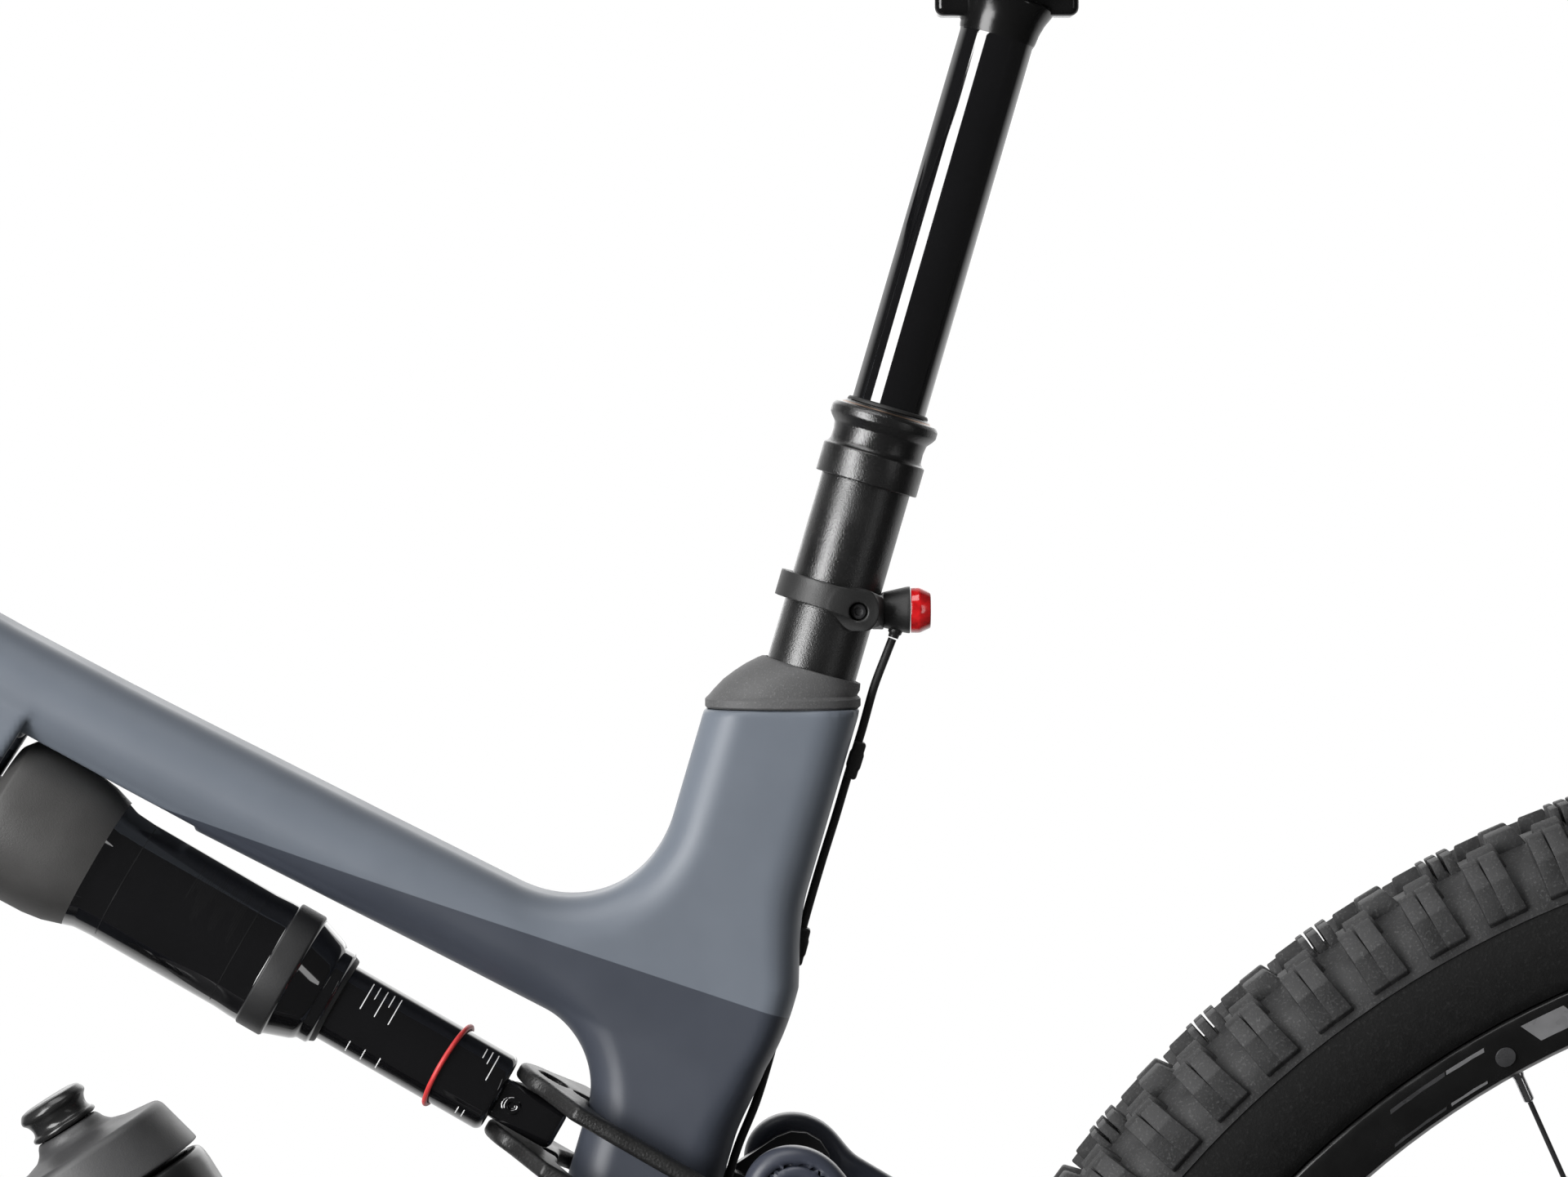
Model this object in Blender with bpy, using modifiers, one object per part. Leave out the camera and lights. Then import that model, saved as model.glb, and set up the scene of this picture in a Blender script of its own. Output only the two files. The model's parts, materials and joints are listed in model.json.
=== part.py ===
"""Electric full-suspension mountain bike, in metres, +Z up, standing on z = 0.

The front of the bike is toward -X and its drive side is toward +Y. The origin is on the ground, midway
between the wheels. Side-view points are (x, z) pairs in the bike's middle plane.
"""

import math

import bmesh
import bpy
from mathutils import Matrix, Vector

# Wheels and geometry
WHEEL_RADIUS = 0.376
WHEELBASE = 1.226
FRONT_AXLE = (-WHEELBASE / 2, WHEEL_RADIUS)
REAR_AXLE = (WHEELBASE / 2, WHEEL_RADIUS)
BOTTOM_BRACKET = (0.169, 0.346)
HEAD_ANGLE = math.radians(66.5)
CROWN_RACE = (-0.3529, 0.8638)
LEG_OFFSET = 0.034
LEG_SPREAD = 0.064
HEAD_TUBE = (0.006, 0.121)
GAP = 0.0003

# Seat post, measured along its axis from a reference point on it
POST_POINT = Vector((0.2425, 0, 0.8321))
POST_AXIS = Vector((0.2807, 0, 0.9598)).normalized()
POST_RADIUS = 0.0158
STANCHION_RADIUS = 0.0133

# Rear suspension pivots
MAIN_PIVOT = (0.200, 0.422)
HORST_PIVOT = (0.573, 0.343)
ROCKER_PIVOT = (0.144, 0.472)
STAY_PIVOT = (0.2206, 0.5987)
YOKE_PIVOT = (0.1966, 0.5828)
SHOCK_EYE = Vector((-0.0714, 0, 0.7366))
SHOCK_AXIS = (Vector((YOKE_PIVOT[0], 0, YOKE_PIVOT[1])) - SHOCK_EYE).normalized()

# Down tube and bottle
DOWN_TUBE_LOW = Vector((0.0025, 0, 0.4246))
DOWN_TUBE_AXIS = Vector((-0.1675, 0, 0.2654)).normalized()
BOTTLE_TOP = Vector((-0.0371, 0, 0.6239))
BOTTLE_AXIS = Vector((0.53, 0, -0.848)).normalized()
BOTTLE_RADIUS = 0.0365

# Drivetrain
CHAIN_Y = 0.0525
CHAINRING_RADIUS = 0.0688
COG_RADIUS = 0.0424
GUIDE_PULLEY = (0.622, 0.284)
TENSION_PULLEY = (0.600, 0.195)
PULLEY_RADIUS = 0.0243
CRANK_LENGTH = 0.165

STEER_UP = Vector((math.cos(HEAD_ANGLE), 0, math.sin(HEAD_ANGLE)))
STEER_FORWARD = Vector((-math.sin(HEAD_ANGLE), 0, math.cos(HEAD_ANGLE)))
BAR_HEIGHT = 0.155
BAR_REACH = 0.050


def clear_scene():
    for obj in list(bpy.data.objects):
        bpy.data.objects.remove(obj, do_unlink=True)


def collection(name):
    made = bpy.data.collections.new(name)
    bpy.context.scene.collection.children.link(made)
    return made


clear_scene()
PARTS = collection("mountain_bike")
TOOLS = collection("cutters")


def material(name, colour, roughness, metallic=0.0):
    made = bpy.data.materials.new(name)
    made.use_nodes = True
    shader = made.node_tree.nodes["Principled BSDF"]
    shader.inputs["Base Color"].default_value = (*colour, 1)
    shader.inputs["Roughness"].default_value = roughness
    shader.inputs["Metallic"].default_value = metallic
    return made


FRAME_PAINT = material("frame_paint", (0.14, 0.17, 0.21), 0.45)
BLACK_ALLOY = material("black_alloy", (0.02, 0.02, 0.02), 0.35, 0.6)
GLOSS_BLACK = material("gloss_black", (0.01, 0.01, 0.01), 0.08, 0.4)
RUBBER = material("rubber", (0.03, 0.03, 0.03), 0.8)
GREY_RUBBER = material("grey_rubber", (0.17, 0.17, 0.17), 0.75)
PLASTIC = material("black_plastic", (0.03, 0.03, 0.03), 0.5)
STEEL = material("steel", (0.55, 0.55, 0.55), 0.3, 1.0)
RED = material("red_plastic", (0.55, 0.02, 0.02), 0.25)


def side(point, y=0.0):
    """A side-view point as a 3-D point."""
    return Vector((point[0], y, point[1]))


def steer(height, forward=0.0, y=0.0):
    """A point along the steering axis, measured up from the crown race."""
    return side(CROWN_RACE) + STEER_UP * height + STEER_FORWARD * forward + Vector((0, y, 0))


def post(along):
    return POST_POINT + POST_AXIS * along


def shock(along):
    """A point along the shock, measured from its front eye."""
    return SHOCK_EYE + SHOCK_AXIS * along


def frame_axes(origin, z_axis, x_hint):
    """A matrix at origin whose Z is z_axis and whose X is close to x_hint."""
    z = Vector(z_axis).normalized()
    x = (Vector(x_hint) - z * z.dot(Vector(x_hint))).normalized()
    y = z.cross(x)
    matrix = Matrix((x, y, z)).transposed().to_4x4()
    matrix.translation = origin
    return matrix


def finish(obj, paint, tool=False):
    """Puts an object in its collection with its material, smooth where it is round."""
    (TOOLS if tool else PARTS).objects.link(obj)
    obj.hide_render = tool
    if tool:
        obj.display_type = "WIRE"
    if obj.type == "MESH":
        obj.data.materials.clear()
        obj.data.shade_smooth()
        obj.data.set_sharp_from_angle(angle=math.radians(35))
    obj.data.materials.append(paint)
    return obj


def from_bmesh(name, bm, paint, matrix=None, tool=False):
    bmesh.ops.recalc_face_normals(bm, faces=bm.faces)
    mesh = bpy.data.meshes.new(name)
    bm.to_mesh(mesh)
    bm.free()
    obj = bpy.data.objects.new(name, mesh)
    obj.matrix_world = matrix or Matrix()
    return finish(obj, paint, tool)


def box(name, size, matrix, paint=PLASTIC, tool=False, bevel=0.0):
    bm = bmesh.new()
    bmesh.ops.create_cube(bm, size=1.0)
    bmesh.ops.scale(bm, vec=size, verts=bm.verts)
    obj = from_bmesh(name, bm, paint, matrix, tool)
    return rounded(obj, bevel) if bevel else obj


def rounded(obj, width, segments=1):
    made = obj.modifiers.new("rounded", "BEVEL")
    made.width = width
    made.segments = segments
    made.limit_method = "ANGLE"
    made.angle_limit = math.radians(40)
    return obj


def rod(name, start, end, radius, paint=BLACK_ALLOY, tool=False, sides=16, end_radius=None):
    """A cylinder or cone between two points."""
    start = Vector(start)
    end = Vector(end)
    axis = end - start
    hint = (0, 0, -1) if abs(axis.normalized().z) < 0.9 else (1, 0, 0)
    bm = bmesh.new()
    bmesh.ops.create_cone(
        bm,
        cap_ends=True,
        segments=sides,
        radius1=radius,
        radius2=radius if end_radius is None else end_radius,
        depth=axis.length,
    )
    return from_bmesh(name, bm, paint, frame_axes((start + end) / 2, axis, hint), tool)


def turned(name, origin, axis, profile, paint=BLACK_ALLOY, steps=18, closed=False, tool=False, hint=None):
    """A profile of (radius, height) points turned about an axis through origin.

    The profile runs down the outer side, from the top; a closed one is a ring.
    """
    if hint is None:
        hint = (0, 0, -1) if abs(Vector(axis).normalized().z) < 0.9 else (1, 0, 0)
    mesh = bpy.data.meshes.new(name)
    points = [(radius, 0, height) for radius, height in profile]
    edges = [(i, i + 1) for i in range(len(points) - 1)]
    if closed:
        edges.append((len(points) - 1, 0))
    mesh.from_pydata(points, edges, [])
    obj = bpy.data.objects.new(name, mesh)
    obj.matrix_world = frame_axes(origin, axis, hint)
    screw = obj.modifiers.new("turned", "SCREW")
    screw.steps = steps
    screw.render_steps = steps
    screw.use_merge_vertices = True
    screw.merge_threshold = 0.00002
    screw.use_smooth_shade = True
    return finish(obj, paint, tool)


def solid_of(profile, inner):
    """Adds a straight bore of a given radius to an outer profile, as a closed ring."""
    return [*profile, (inner, profile[-1][1]), (inner, profile[0][1])]


def tube(name, points, radius, paint=BLACK_ALLOY, radii=None, tool=False, resolution=2):
    """A round bar along points, as a mesh with welded caps."""
    curve = bpy.data.curves.new(name, "CURVE")
    curve.dimensions = "3D"
    curve.bevel_depth = radius
    curve.bevel_resolution = resolution
    curve.use_fill_caps = True
    spline = curve.splines.new("POLY")
    spline.points.add(len(points) - 1)
    for i, point in enumerate(points):
        spline.points[i].co = (*point, 1)
        spline.points[i].radius = radii[i] / radius if radii else 1
    return meshed(name, curve, paint, Matrix(), tool)


def meshed(name, curve, paint, matrix, tool):
    """Turns a curve into a mesh object whose caps are welded to its sides."""
    source = bpy.data.objects.new(name + "_curve", curve)
    source.matrix_world = matrix
    bpy.context.scene.collection.objects.link(source)
    graph = bpy.context.evaluated_depsgraph_get()
    mesh = bpy.data.meshes.new_from_object(source.evaluated_get(graph))
    bm = bmesh.new()
    bm.from_mesh(mesh)
    bmesh.ops.remove_doubles(bm, verts=bm.verts, dist=0.00002)
    bpy.data.objects.remove(source)
    return from_bmesh(name, bm, paint, matrix, tool)


def plate(name, outline, matrix, thickness, paint=BLACK_ALLOY, tool=False):
    """A flat outline in the matrix's XY plane, with half its thickness on each side."""
    curve = bpy.data.curves.new(name, "CURVE")
    curve.dimensions = "2D"
    curve.fill_mode = "BOTH"
    curve.extrude = thickness / 2
    spline = curve.splines.new("POLY")
    spline.points.add(len(outline) - 1)
    for i, point in enumerate(outline):
        spline.points[i].co = (point[0], point[1], 0, 1)
    spline.use_cyclic_u = True
    return meshed(name, curve, paint, matrix, tool)


def side_plate(name, outline, low_y, high_y, paint=BLACK_ALLOY, tool=False):
    """A side-view outline of (x, z) points that spans a range of y."""
    matrix = Matrix(((1, 0, 0, 0), (0, 0, -1, (low_y + high_y) / 2), (0, 1, 0, 0), (0, 0, 0, 1)))
    return plate(name, outline, matrix, high_y - low_y, paint, tool)


def loft(name, rings, paint=FRAME_PAINT, tool=False):
    """A skin over rings that all have the same number of points, with flat ends."""
    bm = bmesh.new()
    rows = [[bm.verts.new(point) for point in ring] for ring in rings]
    count = len(rows[0])
    for low, high in zip(rows, rows[1:]):
        for i in range(count):
            j = (i + 1) % count
            bm.faces.new((low[i], low[j], high[j], high[i]))
    bm.faces.new(reversed(rows[0]))
    bm.faces.new(rows[-1])
    return from_bmesh(name, bm, paint, None, tool)


def oval(centre, across, half_across, half_y, count=12, power=2.6):
    """A rounded section around centre: across is its in-plane direction, Y the other one."""
    points = []
    for i in range(count):
        angle = math.tau * i / count
        c = math.cos(angle)
        s = math.sin(angle)
        u = math.copysign(abs(c) ** (2 / power), c) * half_across
        v = math.copysign(abs(s) ** (2 / power), s) * half_y
        points.append(Vector(centre) + Vector(across) * u + Vector((0, v, 0)))
    return points


def swept_ovals(centres, half_heights, half_widths, count=12, power=2.6):
    """Sections square to a side-view centre line."""
    rings = []
    for i, centre in enumerate(centres):
        before = Vector(centres[max(i - 1, 0)])
        after = Vector(centres[min(i + 1, len(centres) - 1)])
        along = (after - before).normalized()
        across = Vector((-along.y, 0, along.x))
        rings.append(oval(side(centre), across, half_heights[i], half_widths[i], count, power))
    return rings


def apply_tool(obj, tool, operation):
    made = obj.modifiers.new(tool.name, "BOOLEAN")
    made.operation = operation
    made.object = tool
    made.solver = "EXACT"
    return obj


def join(obj, *tools):
    for tool in tools:
        apply_tool(obj, tool, "UNION")
    return obj


def cut(obj, *tools):
    for tool in tools:
        apply_tool(obj, tool, "DIFFERENCE")
    return obj


def arc(centre, radius, start, end, count):
    """Points on a circle, with angles in degrees."""
    step = (end - start) / (count - 1)
    angles = [math.radians(start + step * i) for i in range(count)]
    return [(centre[0] + radius * math.cos(a), centre[1] + radius * math.sin(a)) for a in angles]


def hull_outline(circles, count=8):
    """The outline of a belt round circles of (centre, radius), listed counter-clockwise."""
    points = []
    for i, (centre, radius) in enumerate(circles):
        before_centre, before_radius = circles[i - 1]
        after_centre, after_radius = circles[(i + 1) % len(circles)]
        start = tangent_angle(before_centre, before_radius, centre, radius)
        end = tangent_angle(centre, radius, after_centre, after_radius)
        while end < start:
            end += 360
        points += arc(centre, radius, start, end, count)
    return points


def tangent_angle(first, first_radius, second, second_radius):
    """The angle, in degrees, at which an outer tangent leaves the first circle for the second."""
    along = math.atan2(second[1] - first[1], second[0] - first[0])
    distance = math.dist(first, second)
    return math.degrees(along - math.acos((first_radius - second_radius) / distance))


def across_y(name, point, low_y, high_y, radius, paint=BLACK_ALLOY, tool=False, sides=16):
    """A cylinder along Y through a side-view point."""
    return rod(name, side(point, low_y), side(point, high_y), radius, paint, tool, sides)


# Frame


TOP_TUBE = [
    (-0.330, 0.928),
    (-0.190, 0.8495),
    (-0.0556, 0.7747),
    (0.0431, 0.7238),
    (0.1144, 0.6878),
    (0.185, 0.652),
]
DOWN_TUBE = [
    (0.0290, 0.3815),
    (0.0025, 0.4246),
    (-0.0982, 0.5858),
    (-0.165, 0.692),
    (-0.235, 0.790),
    (-0.300, 0.860),
    (-0.338, 0.896),
]
SEAT_TUBE_TOP = Vector((0.2158, 0, 0.7622))
SEAT_TUBE_LOW = Vector((0.1171, 0, 0.4250))
CRADLE = [
    (0.010, 0.410),
    (0.018, 0.335),
    (0.036, 0.300),
    (0.056, 0.296),
    (0.058, 0.374),
    (0.083, 0.4000),
    (0.151, 0.4020),
    (0.180, 0.3960),
    (0.214, 0.4080),
    (0.208, 0.434),
    (0.178, 0.450),
    (0.164, 0.500),
    (0.118, 0.500),
    (0.106, 0.469),
    (0.044, 0.429),
]


def down_tube_frame(along, out):
    """Axes with Z along the straight part of the down tube and X away from the ground."""
    normal = Vector((DOWN_TUBE_AXIS.z, 0, -DOWN_TUBE_AXIS.x))
    return frame_axes(DOWN_TUBE_LOW + DOWN_TUBE_AXIS * along + normal * out, DOWN_TUBE_AXIS, normal)


def corner_web(name, corner, first, second, reach, half_y):
    """A web that fills the corner between two tubes with a round edge."""
    a = Vector(corner) + Vector(first).normalized() * reach
    b = Vector(corner) + Vector(second).normalized() * reach
    mid = (a + b) / 2
    out = (mid - Vector(corner)).normalized()
    half = (b - a).length / 2
    depth = (mid - Vector(corner)).length
    centre = mid + out * half * half / depth
    radius = (a - centre).length
    start = math.degrees(math.atan2(a.y - centre.y, a.x - centre.x))
    end = math.degrees(math.atan2(b.y - centre.y, b.x - centre.x))
    if end - start > 180:
        end -= 360
    if start - end > 180:
        end += 360
    back = Vector(corner) - out * 0.012
    outline = [tuple(back)] + arc(centre, radius, start, end, 8)
    return side_plate(name, outline, -half_y, half_y, FRAME_PAINT, tool=True)


def seat_tube_ring(centre, half_depth):
    return oval(centre, (1, 0, 0), half_depth, 0.0215, 16)


def make_main_frame():
    frame = loft(
        "main_frame",
        swept_ovals(
            TOP_TUBE,
            [0.020, 0.0185, 0.0171, 0.0171, 0.0172, 0.0175],
            [0.021, 0.023, 0.024, 0.023, 0.021, 0.020],
        ),
    )
    heights = [0.034, 0.031, 0.031, 0.031, 0.030, 0.029, 0.026]
    widths = [0.034, 0.033, 0.033, 0.033, 0.031, 0.027, 0.024]
    down_tube = loft("down_tube", swept_ovals(DOWN_TUBE, heights, widths, 12, 3.2), tool=True)
    middle = (SEAT_TUBE_TOP + SEAT_TUBE_LOW) / 2
    seat_tube = loft(
        "seat_tube",
        [
            seat_tube_ring(SEAT_TUBE_LOW, 0.027),
            seat_tube_ring(middle, 0.027),
            seat_tube_ring(SEAT_TUBE_TOP, 0.027),
        ],
        tool=True,
    )
    head_profile = [
        (0.0, HEAD_TUBE[1]),
        (0.0265, HEAD_TUBE[1]),
        (0.0265, 0.085),
        (0.031, 0.03),
        (0.031, HEAD_TUBE[0]),
        (0, HEAD_TUBE[0]),
    ]
    head_tube = turned("head_tube", steer(0), STEER_UP, head_profile, FRAME_PAINT, 24, tool=True)
    cradle = rounded(side_plate("motor_cradle", CRADLE, -0.0302, 0.0302, FRAME_PAINT, tool=True), 0.004)
    upper_web = corner_web("upper_web", (0.1760, 0.6750), (-0.905, 0.48), (0.28, 0.96), 0.046, 0.0195)
    lower_web = corner_web("lower_web", (0.1600, 0.6440), (-0.89, 0.455), (-0.28, -0.96), 0.024, 0.0195)
    rocker_boss = across_y("rocker_boss", ROCKER_PIVOT, -0.0325, 0.0325, 0.017, FRAME_PAINT, True)
    pivot_boss = across_y("pivot_boss", MAIN_PIVOT, -0.0305, 0.0305, 0.0145, FRAME_PAINT, True)
    eye = (SHOCK_EYE.x, SHOCK_EYE.z)
    ear = hull_outline([(eye, 0.011), ((-0.052, 0.768), 0.012), ((-0.088, 0.787), 0.012)], 5)
    ears = [
        side_plate("shock_ear_left", ear, -0.022, -0.0140, FRAME_PAINT, tool=True),
        side_plate("shock_ear_right", ear, 0.0140, 0.022, FRAME_PAINT, tool=True),
    ]
    join(frame, down_tube, seat_tube, head_tube, cradle, upper_web, lower_web, rocker_boss, pivot_boss)
    cutters = [
        rod("post_bore", post(-0.320), post(0.1), POST_RADIUS + 0.0005, tool=True, sides=20),
        rod("steerer_bore", steer(-0.02), steer(0.16), 0.0212, tool=True, sides=20),
        rod("shock_recess", shock(0.013), shock(0.080), 0.0300, tool=True, sides=20),
        across_y("rocker_bore", ROCKER_PIVOT, -0.05, 0.05, 0.0086, tool=True),
        across_y("pivot_bore", MAIN_PIVOT, -0.05, 0.05, 0.0086, tool=True),
        box("battery_bay", (0.0700, 0.0530, 0.330), down_tube_frame(0.155, -0.0110), tool=True),
        rod("cable_port", (0.1700, 0, 0.4900), (0.1480, 0, 0.4460), 0.0022, tool=True, sides=10),
    ]
    cut(frame, *cutters[:3])
    join(frame, *ears)
    cut(frame, *cutters[3:])
    for y in (-0.0180, 0.0180):
        name = "bolt_bore_left" if y < 0 else "bolt_bore_right"
        cut(frame, across_y(name, eye, y - 0.006, y + 0.006, 0.0055, tool=True, sides=16))
    return frame


def make_battery():
    box("battery_pack", (0.0430, 0.0510, 0.3100), down_tube_frame(0.150, 0.0020), PLASTIC, bevel=0.004)
    box(
        "battery_cover",
        (0.0100, 0.0516, 0.3280),
        down_tube_frame(0.155, -0.0262),
        FRAME_PAINT,
        bevel=0.003,
    )


def make_motor():
    outline = [
        (0.0605, 0.302),
        (0.0605, 0.372),
        (0.084, 0.3965),
        (0.151, 0.3985),
        (0.180, 0.3925),
        (0.206, 0.372),
        (0.214, 0.345),
        (0.203, 0.312),
        (0.175, 0.296),
        (0.105, 0.292),
    ]
    motor = rounded(side_plate("motor_unit", outline, -0.040, 0.040, PLASTIC), 0.006)
    ring = across_y("motor_ring", BOTTOM_BRACKET, 0.030, 0.0470, 0.030, PLASTIC, True, 28)
    join(motor, ring)
    cut(motor, across_y("spindle_bore", BOTTOM_BRACKET, -0.07, 0.07, 0.0128, tool=True, sides=20))


def make_seat_cover():
    top = post(-0.0587)
    base = Vector((0.2160, 0, SEAT_TUBE_TOP.z + GAP))
    across = Vector((POST_AXIS.z, 0, -POST_AXIS.x))
    rings = [
        oval(base, (1, 0, 0), 0.0269, 0.0218, 24, 2.4),
        oval(base + Vector((0.0002, 0, 0.0035)), (1, 0, 0), 0.0262, 0.0216, 24, 2.4),
        oval(top, across, 0.0178, 0.0178, 24, 2.0),
    ]
    cover = loft("seat_clamp_cover", rings, GREY_RUBBER)
    cut(cover, rod("cover_bore", post(-0.2), post(0.1), POST_RADIUS + 0.0004, tool=True, sides=20))


# Seat post, saddle and rear light


def make_post():
    outer = [(POST_RADIUS, 0.0172), (POST_RADIUS, -0.300)]
    turned(
        "seat_post_outer",
        POST_POINT,
        POST_AXIS,
        solid_of(outer, STANCHION_RADIUS + 0.0005),
        GLOSS_BLACK,
        20,
        True,
    )
    collar = [
        (0.0155, 0.0348),
        (0.0190, 0.0333),
        (0.0190, 0.0285),
        (0.0167, 0.0270),
        (0.0167, 0.0190),
        (0.0181, 0.0184),
        (0.0181, 0.0083),
        (POST_RADIUS + 0.0005, 0.0083),
        (POST_RADIUS + 0.0005, 0.0178),
        (STANCHION_RADIUS + 0.0004, 0.0178),
        (STANCHION_RADIUS + 0.0004, 0.0348),
    ]
    turned("seat_post_collar", POST_POINT, POST_AXIS, collar, BLACK_ALLOY, 20, True)
    inner = [
        (0, 0.1840),
        (0.0150, 0.1840),
        (0.0172, 0.1800),
        (0.0145, 0.1680),
        (STANCHION_RADIUS, 0.1640),
        (STANCHION_RADIUS, -0.1600),
        (0, -0.1600),
    ]
    stanchion = turned("seat_post_inner", POST_POINT, POST_AXIS, inner, GLOSS_BLACK, 20)
    ears = box(
        "head_ears",
        (0.050, 0.016, 0.009),
        frame_axes(post(0.1815), (0, 0, 1), (1, 0, 0)),
        tool=True,
        bevel=0.003,
    )
    join(stanchion, ears)


RAIL_Z = 1.0215
SADDLE_X = 0.2965


def make_saddle():
    clamp = box(
        "saddle_clamp",
        (0.040, 0.052, 0.0135),
        Matrix.Translation((SADDLE_X, 0, RAIL_Z - 0.0008)),
        bevel=0.002,
    )
    for y in (-0.022, 0.022):
        name = "rail_bore_left" if y < 0 else "rail_bore_right"
        cut(clamp, rod(name, (0.2, y, RAIL_Z), (0.4, y, RAIL_Z), 0.0040, tool=True, sides=16))
    plan = [
        (0.148, 0.012),
        (0.173, 0.019),
        (0.223, 0.021),
        (0.278, 0.028),
        (0.328, 0.052),
        (0.373, 0.069),
        (0.406, 0.064),
        (0.418, 0.040),
    ]
    base_height = [1.0395, 1.0390, 1.0380, 1.0370, 1.0375, 1.0400, 1.0440, 1.0460]
    top_height = [1.0500, 1.0560, 1.0570, 1.0560, 1.0575, 1.0620, 1.0660, 1.0630]
    shell_rings = []
    pad_rings = []
    for (x, half), low, top in zip(plan, base_height, top_height):
        shell_rings.append(saddle_ring(x, half - 0.002, low, low + 0.0035))
        pad_rings.append(saddle_ring(x, half, low + 0.0040, top))
    shell = loft("saddle_shell", shell_rings, PLASTIC)
    loft("saddle_cover", pad_rings, RUBBER)
    for y in (-0.022, 0.022):
        name = "rail_left" if y < 0 else "rail_right"
        rail = [
            (0.180, y * 0.55, 1.0385),
            (0.186, y * 0.6, 1.0350),
            (0.213, y * 0.9, 1.0250),
            (0.243, y, RAIL_Z),
            (0.348, y, RAIL_Z),
            (0.376, y * 1.1, 1.0280),
            (0.393, y * 1.2, 1.0430),
        ]
        join(shell, tube(name, rail, 0.0035, STEEL, tool=True))


def saddle_ring(x, half, low, high):
    """A section across the saddle: flat below and crowned above."""
    shape = [
        (-1, 0),
        (-1, 0.45),
        (-0.82, 0.86),
        (-0.4, 1),
        (0.4, 1),
        (0.82, 0.86),
        (1, 0.45),
        (1, 0),
        (0.5, -0.02),
        (-0.5, -0.02),
    ]
    return [Vector((x, half * u, low + (high - low) * v)) for u, v in shape]


LIGHT_Z = 0.7962


def make_rear_light():
    ring = [(0.0198, -0.0280), (0.0198, -0.0372)]
    clamp = turned(
        "light_clamp", POST_POINT, POST_AXIS, solid_of(ring, POST_RADIUS + 0.0005), PLASTIC, 20, True
    )
    lug = box(
        "light_lug",
        (0.0155, 0.0330, 0.0130),
        Matrix.Translation((0.2437, 0, LIGHT_Z + 0.0006)),
        tool=True,
    )
    join(clamp, lug)
    cut(
        clamp,
        box("light_seat", (0.0200, 0.0500, 0.0500), Matrix.Translation((0.2609, 0, LIGHT_Z)), tool=True),
    )
    cut(clamp, rod("clamp_bore", post(-0.1), post(0.05), POST_RADIUS + 0.0005, tool=True, sides=20))
    housing = [(0, 0.0118), (0.0083, 0.0118), (0.0080, 0.0090), (0.0062, 0.0037), (0, 0.0037)]
    start = Vector((0.2483, 0, LIGHT_Z))
    body = turned("tail_light_housing", start, (1, 0, 0), housing, PLASTIC, 20)
    join(body, rod("light_boot", (0.2556, 0, 0.7930), (0.2542, 0, 0.7866), 0.0025, tool=True, sides=12))
    lens = [(0, 0.0190), (0.0064, 0.0190), (0.0080, 0.0150), (0.0080, 0.0121), (0, 0.0121)]
    turned("tail_light_lens", start, (1, 0, 0), lens, RED, 20)


CABLE_RADIUS = 0.0015
CABLE_ROUTE = [
    (0.2540, 0.7862),
    (0.2520, 0.7811),
    (0.2477, 0.7698),
    (0.2445, 0.7584),
    (0.2429, 0.7528),
    (0.2385, 0.7386),
    (0.2343, 0.7244),
    (0.2299, 0.7103),
    (0.2257, 0.6961),
    (0.2218, 0.6820),
    (0.2181, 0.6678),
    (0.2147, 0.6536),
    (0.2110, 0.6395),
    (0.2066, 0.6253),
    (0.2008, 0.6111),
    (0.1972, 0.5995),
    (0.1905, 0.5740),
    (0.1830, 0.5480),
    (0.1762, 0.5240),
    (0.1716, 0.5050),
    (0.1680, 0.4860),
    (0.1640, 0.4780),
]
CLIPS = {"cable_clip_upper": 0.7442, "cable_clip_lower": 0.6797}


def make_cable():
    tube(
        "light_cable",
        smooth_route([side(point) for point in CABLE_ROUTE], 2),
        CABLE_RADIUS,
        RUBBER,
        resolution=1,
    )
    for name, height in CLIPS.items():
        x = cable_x(height)
        along = Vector((cable_x(height + 0.006) - cable_x(height - 0.006), 0, 0.012)).normalized()
        matrix = frame_axes(Vector((x + 0.0010, 0, height)), along, (1, 0, 0))
        clip = box(name, (0.0046, 0.0070, 0.0135), matrix, PLASTIC)
        middle = Vector((x, 0, height))
        cut(
            clip,
            rod(
                name + "_bore", middle - along * 0.02, middle + along * 0.02, 0.0020, tool=True, sides=12
            ),
        )


def cable_x(height):
    """The cable's x at a height, by straight steps along its route."""
    for (x1, z1), (x2, z2) in zip(CABLE_ROUTE, CABLE_ROUTE[1:]):
        if z2 <= height <= z1:
            return x1 + (x2 - x1) * (z1 - height) / (z1 - z2)
    return CABLE_ROUTE[-1][0]


def smooth_route(points, steps):
    """A Catmull-Rom curve through points."""
    padded = [points[0], *points, points[-1]]
    route = []
    for a, b, c, d in zip(padded, padded[1:], padded[2:], padded[3:]):
        for i in range(steps):
            t = i / steps
            route.append(
                (
                    b * 2 + (c - a) * t + (
                        a * 2 - b * 5 + c * 4 - d
                    ) * t * t + (b * 3 - a - c * 3 + d) * t**3
                ) / 2
            )
    route.append(points[-1])
    return route


# Shock, yoke and rear triangle


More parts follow.
